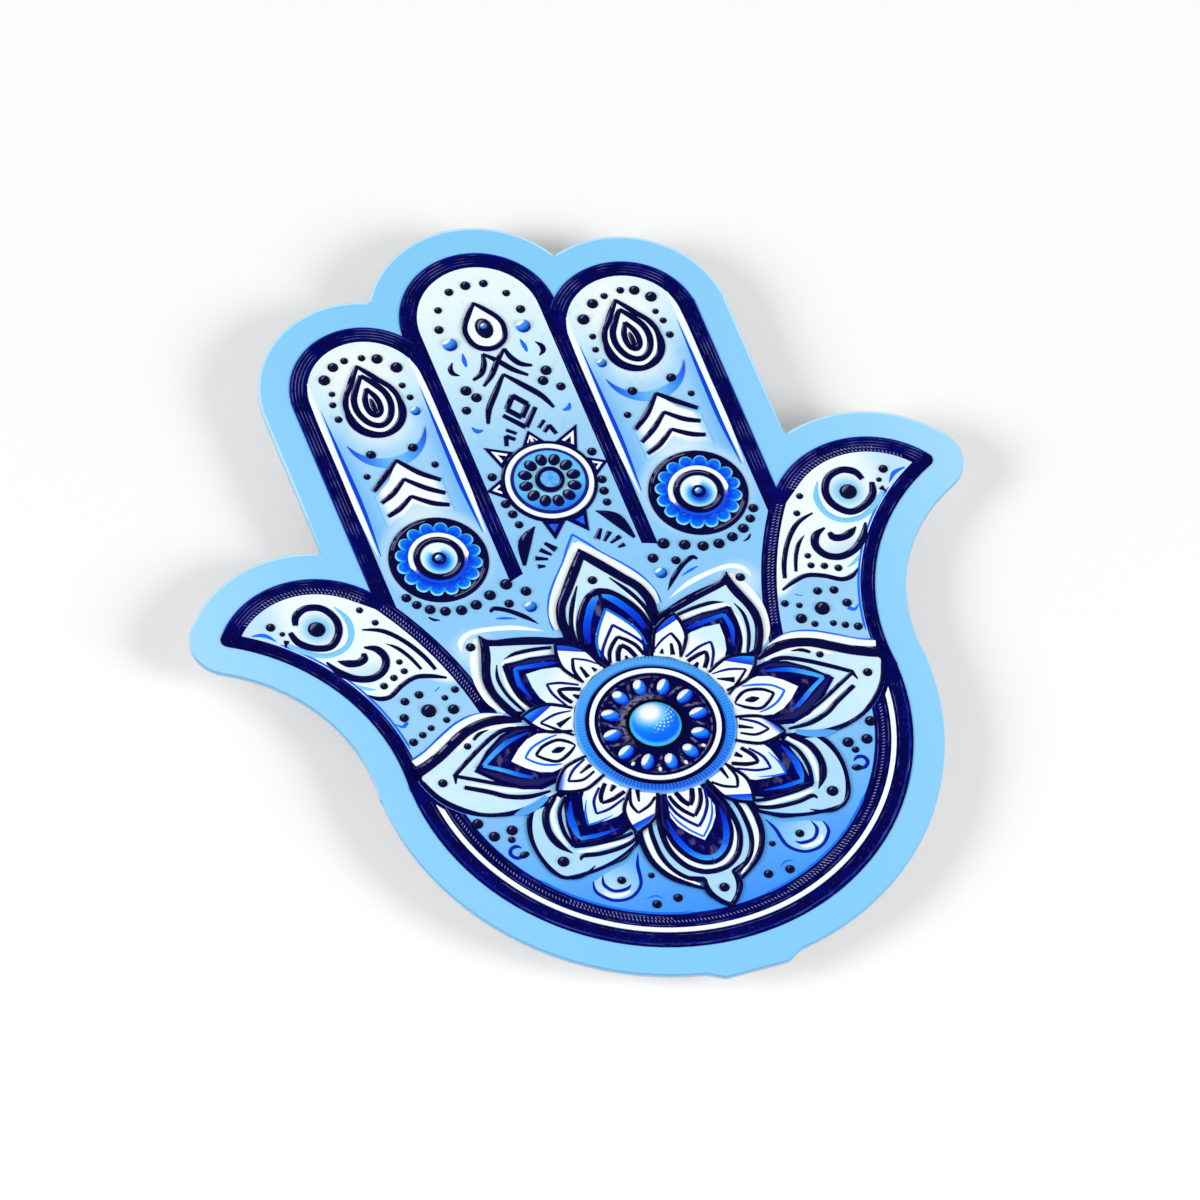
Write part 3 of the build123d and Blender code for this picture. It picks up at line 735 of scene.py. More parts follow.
# Lines on the fields: fingers, thumbs and palm
FIELD_INK = [
    line(0.58, (1.3, 52.1), (1.55, 50.9), (2.3, 49.7), (3.5, 49.1)),
    line(0.58, (-1.25, 52.1), (0.0, 50.8), (1.25, 49.2), (2.65, 48.0)),
    line(0.62, (0.0, 48.9), (1.55, 47.0), (3.1, 45.0), (3.9, 43.1)),
    line(0.60, (0.0, 45.9), (1.25, 44.35), ends=(1.0, 1.0)),
    line(0.60, (1.25, 44.35), (0.0, 42.85), ends=(1.0, 1.0)),
    line(0.60, (1.9, 43.7), (0.0, 41.5), ends=(0.8, 1.0)),
    line(0.50, (1.3, 41.0), (2.25, 41.8), ends=(0.8, 0.8)),
    line(0.54, (1.7, 40.3), (2.55, 41.0), ends=(0.8, 0.9)),
    line(0.54, (2.55, 41.0), (2.95, 39.7), ends=(0.9, 0.8)),
    line(1.30, (3.6, 28.8), (5.4, 27.1), (6.5, 24.2), ends=(0.1, 0.25)),
    line(0.62, (3.3, 26.4), (2.4, 25.2), ends=(0.6, 1.1)),
    line(0.60, (4.1, 25.7), (3.1, 24.7), ends=(0.9, 0.5)),
    line(0.60, (5.0, 24.8), (3.7, 24.3), ends=(0.9, 0.5)),
    line(0.60, (4.3, 23.5), (5.1, 23.7), ends=(0.4, 0.9)),
    line(0.50, (4.9, 52.0), (5.4, 51.3), (5.35, 50.6), (4.7, 50.1), ends=(0.2, 0.2)),
    line(0.50, (7.6, 16.5), (8.7, 17.8), (10.3, 19.2), (11.7, 19.9), (12.2, 19.5), ends=(0.1, 0.5)),
    line(0.76, (33.5, 24.1), (33.0, 25.3), (31.6, 25.95), (29.9, 25.4), (28.95, 23.7), (29.2, 21.9),
         (30.6, 20.45), (32.4, 20.7), (33.9, 21.9), (34.35, 23.4), ends=(0.7, 0.7)),
    line(0.60, (35.1, 22.5), (35.5, 21.7), ends=(1.0, 0.2)),
    line(0.78, (27.2, 19.25), (25.9, 18.6), (25.4, 17.2), (26.1, 15.8), (27.6, 15.15), (29.4, 15.6),
         (30.9, 16.9), (31.8, 18.6), ends=(0.3, 0.3)),
    line(0.80, (27.5, 18.5), (27.7, 17.8), (28.6, 17.5), (29.7, 17.8), (30.6, 18.4), ends=(0.6, 0.15)),
    line(0.50, (20.6, 14.2), (21.3, 16.3), (22.7, 18.8), (24.5, 20.7), (26.6, 21.5), ends=(0.8, 0.4)),
    line(0.40, (22.1, 14.7), (22.8, 16.6), (23.7, 18.1), (24.7, 19.0), ends=(0.8, 0.2)),
    line(0.52, (19.8, 12.85), (21.4, 13.55), (23.1, 13.9), (24.9, 13.3), (26.6, 12.3), (27.9, 12.4),
         (28.95, 13.2), ends=(0.5, 0.3)),
    line(0.30, (17.9, 20.2), (18.5, 20.4), (19.0, 20.9), ends=(0.3, 0.6)),
]

# Lines on the outer petals
PETAL_INK = [
    line(0.95, (0.0, 23.8), (1.4, 21.95), (3.2, 19.6), (4.5, 17.9), (5.1, 16.1), (5.1, 14.8), (4.9, 13.8),
         ends=(0.9, 0.5)),
    line(0.46, (1.9, 19.9), (3.2, 17.8), (4.1, 15.8), (4.5, 14.1), (4.5, 12.4), ends=(0.3, 0.9)),
    line(0.66, (0.0, 18.65), (1.26, 18.1), (2.55, 16.6), (3.4, 15.05), (3.85, 13.4), (3.95, 12.0),
         ends=(1.0, 0.8)),
    line(0.72, (5.2, 13.5), (7.1, 13.85), (10.2, 14.7), (13.2, 15.45), (14.2, 15.9), (14.6, 16.9),
         ends=(0.9, 0.2)),
    line(0.80, (14.55, 16.6), (14.55, 15.0), (15.2, 13.0), (15.75, 11.0), (15.6, 9.1), (14.9, 7.2),
         (13.9, 5.7), ends=(0.3, 0.6)),
    line(0.42, (7.45, 13.1), (9.3, 13.4), (11.5, 13.5), (13.0, 13.15), ends=(0.9, 0.15)),
    line(0.36, (14.0, 12.7), (14.5, 11.0), (14.3, 8.9), (13.65, 7.1), (13.0, 5.8), ends=(0.3, 0.6)),
    line(0.50, (7.5, 11.6), (9.7, 12.0), (13.2, 12.35), ends=(0.9, 0.9)),
    line(0.55, (13.2, 12.35), (13.25, 10.2), (12.95, 8.0), (12.1, 6.3), ends=(0.9, 0.9)),
    line(1.05, (13.9, 5.0), (16.0, 5.75), (18.0, 5.9), (20.0, 5.45), (22.0, 4.45), (24.0, 3.25), (26.0, 2.3),
         (27.3, 1.95), ends=(0.4, 1.25)),
    line(0.40, (17.3, 4.95), (18.9, 4.75), (19.85, 4.15), ends=(0.1, 0.9)),
    line(0.50, (14.1, 3.95), (15.4, 4.35), (16.9, 4.25), (18.9, 3.3), (21.0, 2.0), (23.3, 0.45),
         ends=(0.5, 0.9)),
    line(0.50, (23.3, 0.5), (23.65, -0.7), ends=(1.0, 0.3)),
    line(0.45, (23.4, 0.3), (21.5, -0.75), (19.25, -2.0), (16.75, -3.1), (14.0, -3.5), ends=(0.9, 0.7)),
    line(0.55, (22.9, -1.4), (20.5, -2.75), (18.75, -3.9), (16.5, -4.6), (14.0, -4.6), ends=(0.9, 0.5)),
    line(0.30, (27.0, 0.6), (26.0, -1.75), (24.25, -3.75), (22.0, -5.4), (20.0, -6.1), (18.4, -6.4),
         ends=(0.8, 0.2)),
    line(0.36, (16.0, -6.0), (17.5, -7.25), (18.2, -10.0), (17.9, -13.0), (17.1, -15.0), (15.5, -16.0),
         (14.0, -15.9), (12.6, -15.2), ends=(0.3, 0.3)),
    line(0.28, (11.5, -15.7), (9.25, -15.2), (7.4, -14.0), ends=(0.3, 0.3)),
    line(0.72, (14.0, -5.6), (15.5, -7.25), (16.0, -9.5), (15.5, -11.5), (14.4, -13.0), ends=(0.8, 0.1)),
    line(0.50, (6.7, -13.0), (8.75, -13.75), (11.5, -13.9), (13.4, -13.6), (13.9, -14.1), ends=(0.8, 0.3)),
    line(0.45, (12.75, -5.75), (14.0, -7.5), (14.4, -10.0), (14.0, -12.2), ends=(0.9, 0.9)),
    line(0.45, (14.0, -12.2), (12.0, -12.5), (9.0, -12.6), (7.25, -12.4), ends=(0.9, 0.9)),
    line(0.60, (6.2, -11.9), (6.6, -13.4), (6.6, -15.7), (6.0, -17.7), (4.75, -19.5), (2.2, -21.5),
         ends=(0.8, 0.5)),
    line(0.50, (4.9, -11.6), (5.25, -13.2), (5.25, -16.0), (4.6, -18.2), (3.4, -19.7), (1.8, -20.6),
         ends=(0.8, 0.5)),
    line(0.60, (3.7, -11.2), (4.1, -13.0), (4.1, -15.7), (3.1, -18.1), (1.5, -19.4), (0.0, -19.7),
         ends=(0.8, 1.0)),
    line(0.55, (3.4, -11.6), (3.5, -13.0), (3.3, -15.2), (2.35, -17.1), (1.15, -18.2), (0.0, -18.58),
         ends=(0.8, 1.0)),
    line(0.50, (1.8, -20.5), (1.9, -22.0), (0.9, -23.6), (0.0, -24.5), ends=(0.7, 0.7)),
]

# Lines on the white petals
INNER_INK = [
    line(0.40, (0.0, 12.1), (0.9, 11.3), (1.6, 10.35), (2.0, 9.0), ends=(0.9, 0.8)),
    line(0.50, (0.0, 10.95), (0.6, 10.25), (1.05, 9.0), ends=(0.9, 0.9)),
    line(0.40, (0.0, 9.5), (0.0, 8.9), ends=(0.5, 1.2), twin=False),
    line(0.45, (6.3, 6.8), (7.6, 7.25), (8.7, 7.45), ends=(0.9, 0.7)),
    line(0.45, (8.7, 7.45), (8.5, 6.5), (7.8, 5.4), ends=(0.7, 0.9)),
    line(0.50, (7.35, 6.35), (6.8, 5.8), ends=(0.5, 1.1)),
    line(0.34, (14.0, 0.1), (12.9, 0.95), (11.2, 1.3), (10.1, 0.8), (9.4, 0.1), ends=(0.8, 0.5)),
    line(0.34, (14.0, 0.1), (13.1, -0.75), (11.9, -1.35), (10.4, -0.75), (9.4, 0.05), ends=(0.8, 0.5)),
    line(0.64, (12.2, -0.05), (11.4, 0.02), (10.6, 0.1), ends=(0.3, 0.3)),
    line(0.45, (6.3, -7.2), (7.9, -7.8), (9.2, -7.9), ends=(0.9, 0.7)),
    line(0.45, (9.2, -7.9), (8.95, -6.9), (8.0, -5.6), ends=(0.7, 0.9)),
    line(0.50, (7.75, -6.75), (7.1, -6.15), ends=(0.5, 1.1)),
    line(0.42, (0.0, -12.5), (0.9, -11.5), (1.5, -10.4), (1.8, -9.2), ends=(0.9, 0.8)),
    line(0.52, (0.0, -11.0), (0.55, -10.2), (0.95, -9.0), ends=(0.9, 0.9)),
]
INNER_THIN = [
    line(0.28, (0.0, 13.75), (0.75, 12.85), (1.45, 12.0), (2.2, 10.9), (2.6, 9.7), ends=(1.0, 0.8)),
    line(0.28, (6.3, 7.4), (8.2, 8.25), (9.67, 8.5), ends=(0.8, 0.8)),
    line(0.28, (9.67, 8.5), (9.45, 7.05), (8.5, 5.2), ends=(0.8, 0.8)),
    line(0.28, (6.6, -8.0), (8.6, -8.85), (10.25, -9.05), ends=(0.8, 0.8)),
    line(0.28, (10.25, -9.05), (9.95, -7.4), (8.8, -5.9), ends=(0.8, 0.8)),
    line(0.30, (0.0, -13.9), (1.1, -12.7), (1.95, -11.2), (2.3, -9.2), ends=(1.0, 0.8)),
]
INNER_BLUE = [
    line(0.30, (15.25, 0.1), (14.1, 1.15), (12.3, 1.75), (10.9, 1.95), ends=(0.9, 0.6)),
    line(0.30, (15.25, 0.1), (14.6, -0.6), (13.7, -1.25), (12.6, -1.65), (11.6, -1.8), ends=(0.9, 0.5)),
    line(0.34, (0.0, 15.95), (1.35, 14.15), (2.42, 12.2), (2.75, 10.2), ends=(1.0, 0.5)),
    line(0.26, (0.0, -15.3), (1.25, -13.9), (2.1, -12.4), (2.5, -10.8), ends=(1.0, 0.3)),
    line(0.26, (8.6, -9.75), (10.3, -10.1), (11.6, -10.15), ends=(0.3, 0.9)),
    line(0.26, (11.6, -10.15), (11.35, -8.5), (10.7, -7.0), ends=(0.9, 0.3)),
]
BETWEEN_THIN = [
    line(0.24, (3.1, 9.1), (4.4, 10.15), (5.8, 10.8), ends=(0.5, 0.8)),
    line(0.26, (8.3, 4.4), (10.2, 4.45), (12.1, 3.9), ends=(0.5, 0.8)),
    line(0.28, (9.1, -2.0), (10.8, -3.0), (11.8, -4.2), ends=(0.8, 0.8)),
]
BETWEEN_INK = [
    line(0.34, (5.8, 10.8), (6.2, 9.2), (5.75, 7.5), ends=(0.8, 0.8)),
    line(0.46, (5.35, 9.5), (5.0, 8.0), ends=(0.6, 1.0)),
    line(0.44, (4.15, 9.1), (3.85, 8.5), ends=(0.4, 1.0)),
    line(0.30, (12.1, 3.85), (10.6, 2.5), (9.1, 1.3), ends=(0.8, 0.8)),
    line(0.52, (8.6, 3.65), (10.4, 2.95), ends=(0.3, 1.15)),
    line(0.30, (11.8, -4.2), (10.2, -4.5), (8.6, -3.8), ends=(0.8, 0.8)),
    line(0.50, (8.7, -2.9), (10.2, -3.6), ends=(0.9, 0.4)),
    line(0.32, (5.85, -10.35), (6.2, -9.0), (5.7, -7.4), ends=(0.8, 0.8)),
    line(0.32, (5.85, -10.35), (4.4, -9.8), (3.3, -8.9), ends=(0.8, 0.8)),
    line(0.48, (5.25, -9.0), (4.9, -7.5), ends=(0.4, 0.9)),
]

# Navy edges of the petals in between, along rays in degrees with the reach of each tip
for degrees, reach in {62.0: 14.9, 21.0: 14.77, -20.5: 14.34, -61.5: 14.48}.items():
    turn = math.radians(degrees)
    for side in (1, -1):
        edge = []
        for along, across in ((0.0, 0.0), (0.95, 0.88), (1.9, 1.46), (2.85, 1.78), (4.2, 1.72), (5.6, 1.5)):
            radius = reach - along
            offset = side * across
            edge.append((radius * math.cos(turn) - offset * math.sin(turn),
                         radius * math.sin(turn) + offset * math.cos(turn)))
        BETWEEN_INK.append(line(0.36, *edge, ends=(0.8, 0.8)))

# Navy hearts of the leaves, as smooth runs that meet at the tip
TOP_CORE = [(2.4, 8.8), (3.6, 11.6), (3.2, 14.0), (2.2, 16.0), (1.1, 17.4), (0.0, 18.2)]
BOTTOM_CORE = [(2.4, -8.7), (3.4, -12.0), (3.1, -14.8), (1.9, -17.1), (0.0, -18.3)]
LEAF_CORES = [
    [TOP_CORE, [(0.0, 18.2), (0.0, 8.8)]],
    [[(4.3, 7.95), (7.2, 11.0), (9.7, 11.6), (12.8, 11.9)],
     [(12.8, 11.9), (12.9, 9.6), (12.2, 7.0), (8.4, 3.4)]],
    [[(8.6, 3.0), (13.3, 3.6), (16.4, 3.1), (18.8, 1.9), (20.9, 0.5)],
     [(20.9, 0.5), (18.6, -1.0), (16.2, -2.4), (13.3, -3.0), (8.6, -2.8)]],
    [[(8.5, -3.2), (12.5, -6.4), (13.6, -8.8), (13.6, -11.9)],
     [(13.6, -11.9), (10.4, -12.1), (7.6, -11.8), (4.4, -7.9)]],
    [BOTTOM_CORE, [(0.0, -18.3), (0.0, -8.7)]],
]

# White middles of the sun's rays
RAY_GAPS = [
    [[(0.0, 40.38), (0.65, 39.45)], [(0.65, 39.45), (0.0, 39.42)]],
    [[(4.89, 39.52), (3.2, 38.68)], [(3.2, 38.68), (4.29, 37.74)]],
    [[(6.51, 34.58), (5.47, 35.13)], [(5.47, 35.13), (5.6, 33.83)]],
]

# Share of a white middle that its navy core takes
RAY_CORE_SHARE = 0.5

# Blue middles of the sun's lower rays
RAY_HEARTS = [[[(1.78, 27.35), (0.95, 28.28)], [(0.95, 28.28), (2.05, 28.55)]]]

# Rings of the teardrops: the width of each line, and its right flank from tip to foot
SIDE_DROPS = {
    0.66: [(DROP_X, 54.5), (16.75, 52.5), (18.1, 50.6), (18.35, 48.6), (17.5, 46.3), (DROP_X, 45.1)],
    0.76: [(DROP_X, 53.2), (16.4, 51.8), (17.2, 50.3), (17.3, 48.6), (16.6, 47.0), (DROP_X, 46.3)],
    0.70: [(DROP_X, 51.4), (15.95, 50.1), (16.1, 49.0), (15.9, 48.1), (DROP_X, 47.7)],
}
MIDDLE_DROP = [(0.0, 58.7), (1.0, 57.5), (1.95, 56.1), (2.2, 54.8), (1.65, 53.2), (0.0, 52.45)]


def loop(width, flank, twin=True):
    """A line down a flank and up its mirror image."""
    axis = flank[0][0]
    other_flank = [(2 * axis - x, y) for x, y in reversed(flank[:-1])]
    return line(width, *flank, *other_flank, ends=(0.7, 0.7), twin=twin)


DROP_RINGS = [loop(width, flank) for width, flank in SIDE_DROPS.items()]
DROP_RINGS.append(loop(0.62, MIDDLE_DROP, twin=False))

# Blue stripes on the leaves
LEAF_BLUE = [
    line(0.85, (0.0, 17.9), (1.1, 17.1), (2.2, 15.5), (3.0, 13.8), (3.3, 12.2), ends=(0.35, 0.6)),
    line(0.62, (7.5, 10.9), (9.7, 11.2), (12.3, 11.5), ends=(0.5, 0.8)),
    line(0.62, (12.3, 11.5), (12.5, 9.5), (11.9, 7.2), ends=(0.8, 0.3)),
    line(0.62, (13.8, 3.2), (16.4, 2.65), (18.6, 1.5), (20.0, 0.5), ends=(0.4, 0.8)),
    line(0.55, (20.0, 0.5), (18.2, -0.6), (16.4, -1.9), (15.0, -2.6), ends=(0.8, 0.2)),
    line(0.75, (12.4, -6.6), (13.1, -8.6), (13.2, -10.4), (13.1, -11.5), ends=(0.3, 0.4)),
    line(0.55, (13.1, -11.5), (11.0, -11.7), (8.4, -11.5), ends=(0.9, 0.3)),
    line(0.68, (3.1, -12.0), (2.9, -14.5), (2.1, -16.6), (1.0, -17.75), (0.0, -18.05), ends=(0.4, 1.0)),
]

# A crease from the tip of the top leaf towards its white petal
LEAF_CREASES = [
    line(0.42, (0.0, 18.7), (0.0, 17.6), (0.0, 16.2), ends=(1.0, 0.3), twin=False),
]

# Blue strokes over the outline under each side petal, where it fades out
PETAL_FADES = [line(0.90, (14.7, -5.25), (16.1, -5.95), (17.6, -6.3), (18.9, -6.4), ends=(0.7, 0.1))]

# White bands and soft halos
FIELD_WHITE = [
    line(1.20, (0.0, 25.4), (1.4, 23.5), (3.6, 20.8), (5.1, 18.5), (5.75, 16.6), (5.85, 15.2),
         ends=(0.6, 0.3)),
    line(0.60, (7.4, 15.5), (10.2, 16.8), (13.2, 17.5), (15.4, 17.6), (16.7, 16.8), (17.1, 15.6),
         ends=(0.1, 0.2)),
    line(1.00, (14.9, 16.7), (15.8, 14.8), (16.5, 12.6), (16.6, 10.5), (16.1, 8.3), (15.2, 6.6),
         ends=(0.5, 0.3)),
    line(0.66, (9.4, 54.0), (9.05, 50.5), (9.0, 42.0), (9.0, 35.0), (9.1, 29.6), ends=(0.3, 0.15)),
    line(0.66, (21.3, 54.0), (21.65, 50.5), (21.65, 42.0), (21.65, 35.0), (21.6, 30.2), ends=(0.3, 0.15)),
    line(0.52, (9.3, -18.8), (10.6, -19.5), (12.4, -19.15), (13.0, -17.8), ends=(0.2, 0.3)),
]
PETAL_WHITE = [
    line(0.85, (15.6, 6.3), (18.1, 6.8), (20.6, 6.35), (23.0, 5.15), (25.4, 3.8), (27.2, 3.15),
         ends=(0.3, 0.9)),
    line(0.40, (2.7, 18.0), (3.7, 16.0), (4.2, 14.4), ends=(0.2, 0.6)),
    line(0.50, (7.6, 12.6), (10.0, 12.9), (12.6, 12.9), (13.5, 12.4), ends=(0.9, 0.5)),
    line(0.40, (13.6, 11.6), (13.8, 9.8), (13.4, 7.8), (12.7, 6.2), ends=(0.4, 0.7)),
    line(0.70, (14.6, 4.6), (16.4, 5.1), (18.2, 5.0), (20.2, 4.5), (22.2, 3.2), ends=(0.4, 0.3)),
    line(0.45, (22.2, -1.1), (19.8, -2.45), (17.6, -3.45), (14.4, -4.05), ends=(0.3, 0.8)),
    line(0.50, (13.4, -5.6), (14.8, -7.4), (15.1, -9.8), (14.7, -12.0), ends=(0.7, 0.3)),
    line(0.50, (7.0, -13.2), (9.6, -13.15), (12.4, -13.1), (13.9, -12.9), ends=(0.7, 0.3)),
    line(0.62, (5.5, -11.8), (5.85, -13.4), (5.9, -15.9), (5.3, -17.9), (4.0, -19.6), (2.4, -20.9),
         ends=(0.8, 0.3)),
    line(0.45, (3.6, -11.8), (3.8, -13.2), (3.7, -15.5), (2.7, -17.6), (1.3, -18.85), (0.0, -19.15),
         ends=(0.8, 1.0)),
]

# Deep blue lines beside the white ones of the side fingers
FINGER_EDGES = [
    line(0.46, (9.5, 50.0), (9.54, 42.0), (9.58, 36.0), (9.4, 29.8), ends=(0.1, 0.2)),
    line(0.46, (21.13, 50.2), (21.08, 42.0), (21.06, 36.0), (21.3, 30.0), ends=(0.1, 0.2)),
]

# Painted highlight along the upper edge of the border
CARD_EDGE_HIGHLIGHT = [
    line(0.24, *arc(MIDDLE_ARCH, 90.0, 28.5, -EDGE_HIGHLIGHT_OUT)),
    line(0.24, *arc(SIDE_ARCH, 111.0, 0.0, -EDGE_HIGHLIGHT_OUT), (FINGER_EDGE + EDGE_HIGHLIGHT_OUT, 42.0),
         (FINGER_EDGE + EDGE_HIGHLIGHT_OUT, 33.5), ends=(0.6, 0.2)),
    line(0.24, *arc(THUMB, 109.0, 36.0, -EDGE_HIGHLIGHT_OUT), ends=(0.6, 0.2)),
]

# Washes inside the drawn drops at the palm's foot
DROP_WASHES = [
    [[(7.6, -15.0), (8.2, -16.5), (8.7, -18.7), (10.2, -20.0), (12.2, -19.8), (13.5, -18.4), (13.4, -17.0)],
     [(13.4, -17.0), (11.6, -16.3), (9.6, -15.9), (7.6, -15.0)]],
]

# Blue lines and soft strokes
FIELD_BLUE = [
    line(0.24, (0.0, 26.6), (1.26, 24.95), (2.35, 23.3), (3.9, 21.5), (5.2, 19.7), (5.95, 18.0), (6.3, 16.5),
         (6.4, 15.2), ends=(1.0, 0.4)),
    line(0.26, (16.2, 6.85), (18.4, 7.35), (20.8, 6.95), (23.2, 5.75), (25.4, 4.45), (27.2, 3.8),
         ends=(0.4, 0.8)),
    line(0.22, *arc(WAIST, 174.0, 130.0, -1.85), ends=(0.3, 0.4)),
    line(0.45, (36.2, 22.8), (37.2, 23.9), (38.6, 24.25), ends=(0.2, 0.3)),
    line(0.50, (4.7, 42.5), (5.4, 42.55), (5.8, 43.2), ends=(0.3, 0.3)),
    line(0.45, (3.4, 52.8), (3.55, 51.9), (3.6, 51.0), ends=(0.3, 0.5)),
    line(0.30, (9.7, 17.9), (11.0, 18.35), (12.0, 18.6), ends=(0.2, 0.2)),
    line(0.20, (6.8, -21.3), (7.6, -20.7), (8.7, -20.8), ends=(0.2, 0.2)),
    line(0.30, (21.0, 11.9), (21.7, 11.5), ends=(0.4, 0.3)),
    line(0.34, (26.0, 8.6), (26.6, 8.15), (27.3, 8.7), ends=(1.2, 0.3)),
    line(0.24, *arc(PALM, -38.0, -80.0, 4.3), ends=(0.2, 0.3)),
]
PALM_SCROLLS = [
    line(0.42, (7.5, -14.9), (8.1, -16.4), (8.6, -18.8), (10.2, -20.1), (12.2, -19.9), (13.6, -18.4),
         (13.5, -17.0), ends=(0.3, 0.4)),
    line(0.46, (12.2, -16.5), (12.5, -17.7), (11.7, -18.8), (10.3, -18.95), (9.6, -18.5), ends=(0.3, 0.3)),
    line(0.46, (19.5, -10.6), (20.0, -10.2), (20.7, -10.35), (20.95, -11.05), (20.45, -11.65), (19.7, -11.6),
         ends=(0.2, 1.0)),
]
FIELD_CYAN = [
    line(0.68, (28.6, 25.3), (27.75, 23.4), (27.9, 21.4), (29.0, 19.9), (30.8, 19.35), (32.6, 19.8),
         (34.4, 21.2), (35.2, 22.1), ends=(0.2, 0.6)),
    line(0.45, (27.8, 13.6), (28.9, 14.1), (30.2, 15.2), ends=(0.3, 0.2)),
]

# Round drops of ink: x, y and radius
INK_DROPS = [
    (11.1, 53.2, 0.65), (12.8, 54.9, 0.60), (14.4, 55.5, 0.40), (16.4, 55.7, 0.42), (17.9, 55.25, 0.57),
    (19.4, 53.9, 0.63), (19.2, 51.9, 0.35), (19.6, 50.5, 0.38), (11.3, 50.75, 0.37), (11.0, 49.0, 0.37),
    (19.65, 48.5, 0.42), (13.0, 42.55, 0.55), (17.8, 43.0, 0.55), (11.4, 39.75, 0.40), (19.2, 40.4, 0.37),
    (9.3, 22.5, 0.65), (11.5, 21.65, 0.62), (13.4, 20.9, 0.60), (15.2, 20.7, 0.60), (16.95, 21.1, 0.57),
    (18.5, 21.8, 0.57), (19.7, 22.8, 0.50), (20.5, 24.0, 0.52), (7.5, 21.0, 0.57), (9.85, 20.0, 0.50),
    (0.0, 61.3, 0.55), (2.05, 61.0, 0.47), (4.05, 59.05, 0.42), (4.85, 56.55, 0.50), (4.75, 48.0, 0.60),
    (3.95, 46.8, 0.57), (5.6, 45.5, 0.50), (5.9, 36.3, 0.50), (5.7, 32.5, 0.50), (5.4, 31.0, 0.50),
    (5.2, 29.5, 0.45), (26.0, 24.0, 0.38), (24.9, 21.95, 0.37), (24.1, 16.3, 0.35), (24.0, 15.0, 0.38),
    (25.4, 14.5, 0.40), (26.8, 13.8, 0.42), (19.45, 11.1, 0.42), (20.9, 10.4, 0.35), (23.5, 11.6, 0.47),
    (25.3, 11.2, 0.47), (23.2, 9.3, 0.80), (20.5, 8.7, 0.60), (21.7, 7.6, 0.38), (23.7, 7.1, 0.37),
    (24.9, 6.5, 0.40), (26.2, 5.9, 0.47), (26.1, 9.2, 0.50), (36.2, 24.7, 0.50), (35.25, 23.5, 0.30),
    (23.1, -6.2, 0.60), (19.75, -8.1, 0.60), (21.9, -8.3, 0.60), (20.2, -9.25, 0.40), (10.45, -17.75, 0.48),
    (7.1, -18.1, 0.35), (5.3, -21.7, 0.50), (7.8, -21.8, 0.50), (15.9, 15.8, 0.52),
]
PETAL_DROPS = [
    (0.0, 20.1, 0.50), (25.0, -0.2, 0.50), (20.75, 3.55, 0.40), (15.8, -13.7, 0.62), (0.0, -22.0, 0.55),
]
BLUE_DROPS = [(11.05, 47.1, 0.57), (7.7, 18.9, 0.70), (4.35, 54.3, 0.85)]

# Oval drops in the palm's curls on both halves: x, y, half-length, half-width and turn in degrees
CURL_DROPS = [(19.55, -11.5, 0.58, 0.38, -14.0), (-19.55, -11.5, 0.58, 0.38, 14.0)]

# Pale threads along the navy bands
THREADS = []
for inset in (0.28, 0.66, 1.04, 1.42):
    THREADS.append(line(0.10, *arc(MIDDLE_ARCH, 90.0, 8.0, inset)))
    THREADS.append(line(0.10, *arc(SIDE_ARCH, 148.0, 0.0, inset), (FINGER_EDGE - inset, 38.0),
                        (FINGER_EDGE - inset, 27.0)))
    THREADS.append(line(0.10, *arc(THUMB, 140.0, 38.0, inset)))
for inset in (0.30, 1.40):
    THREADS.append(line(0.08, *arc(WAIST, 178.0, 126.0, -inset)))
    THREADS.append(line(0.08, *arc(SEAM, 171.0, 147.5, inset)))
for inset in (0.30, 1.55, 2.75, 3.90):
    THREADS.append(line(0.08, *arc(PALM, -4.0, -90.0, inset)))
for across in (7.25, 7.75, 8.30):
    THREADS.append(line(0.08, (across, 23.6), (across, 38.0), (across, 52.0)))

# Blue edges of the bands
BAND_EDGES = [
    line(0.16, *arc(MIDDLE_ARCH, 90.0, 8.0, 0.08)),
    line(0.16, *arc(SIDE_ARCH, 148.0, 0.0, 0.08), (FINGER_EDGE - 0.1, 38.0), (FINGER_EDGE - 0.1, 27.0)),
    line(0.16, *arc(THUMB, 140.0, 38.0, 0.08)),
    line(0.20, *arc(WAIST, 176.0, 126.0, -1.62)),
    line(0.16, *arc(PALM, -4.0, -90.0, 0.40)),
    line(0.16, *arc(PALM, -10.0, -90.0, 4.25)),
]

# Rows of slanted stitches: a path and the distance between stitches
STITCH_ROWS = [
    (arc(PALM, -10.0, -90.0, 3.3, 40), 0.42),
    (arc(PALM, -48.0, -74.0, 3.68, 40), 0.42),
    (arc(SEAM, 168.0, 147.5, 0.85), 0.40),
    (arc(SEAM, 168.0, 147.5, 1.30), 0.40),
    (arc(THUMB, 136.0, 70.0, 1.40), 0.42),
    (arc(THUMB, 136.0, 50.0, 1.80), 0.42),
]


def new_tree(name, inputs):
    """An empty Geometry Nodes tree with geometry in and out and the named inputs."""
    group = bpy.data.node_groups.new(name, "GeometryNodeTree")
    group.interface.new_socket("Geometry", in_out="INPUT", socket_type="NodeSocketGeometry")
    for label, kind in inputs.items():
        group.interface.new_socket(label, in_out="INPUT", socket_type=kind)
    group.interface.new_socket("Geometry", in_out="OUTPUT", socket_type="NodeSocketGeometry")
    tree = Tree(group)
    tree.source = tree.add("NodeGroupInput").outputs
    return tree


def note(tree, geometry, name, value):
    """Stores a value on each point under a name."""
    node = tree.add("GeometryNodeStoreNamedAttribute", {"data_type": "FLOAT", "domain": "POINT"},
                    {"Geometry": geometry, "Name": name, "Value": value})
    return node.outputs[0]


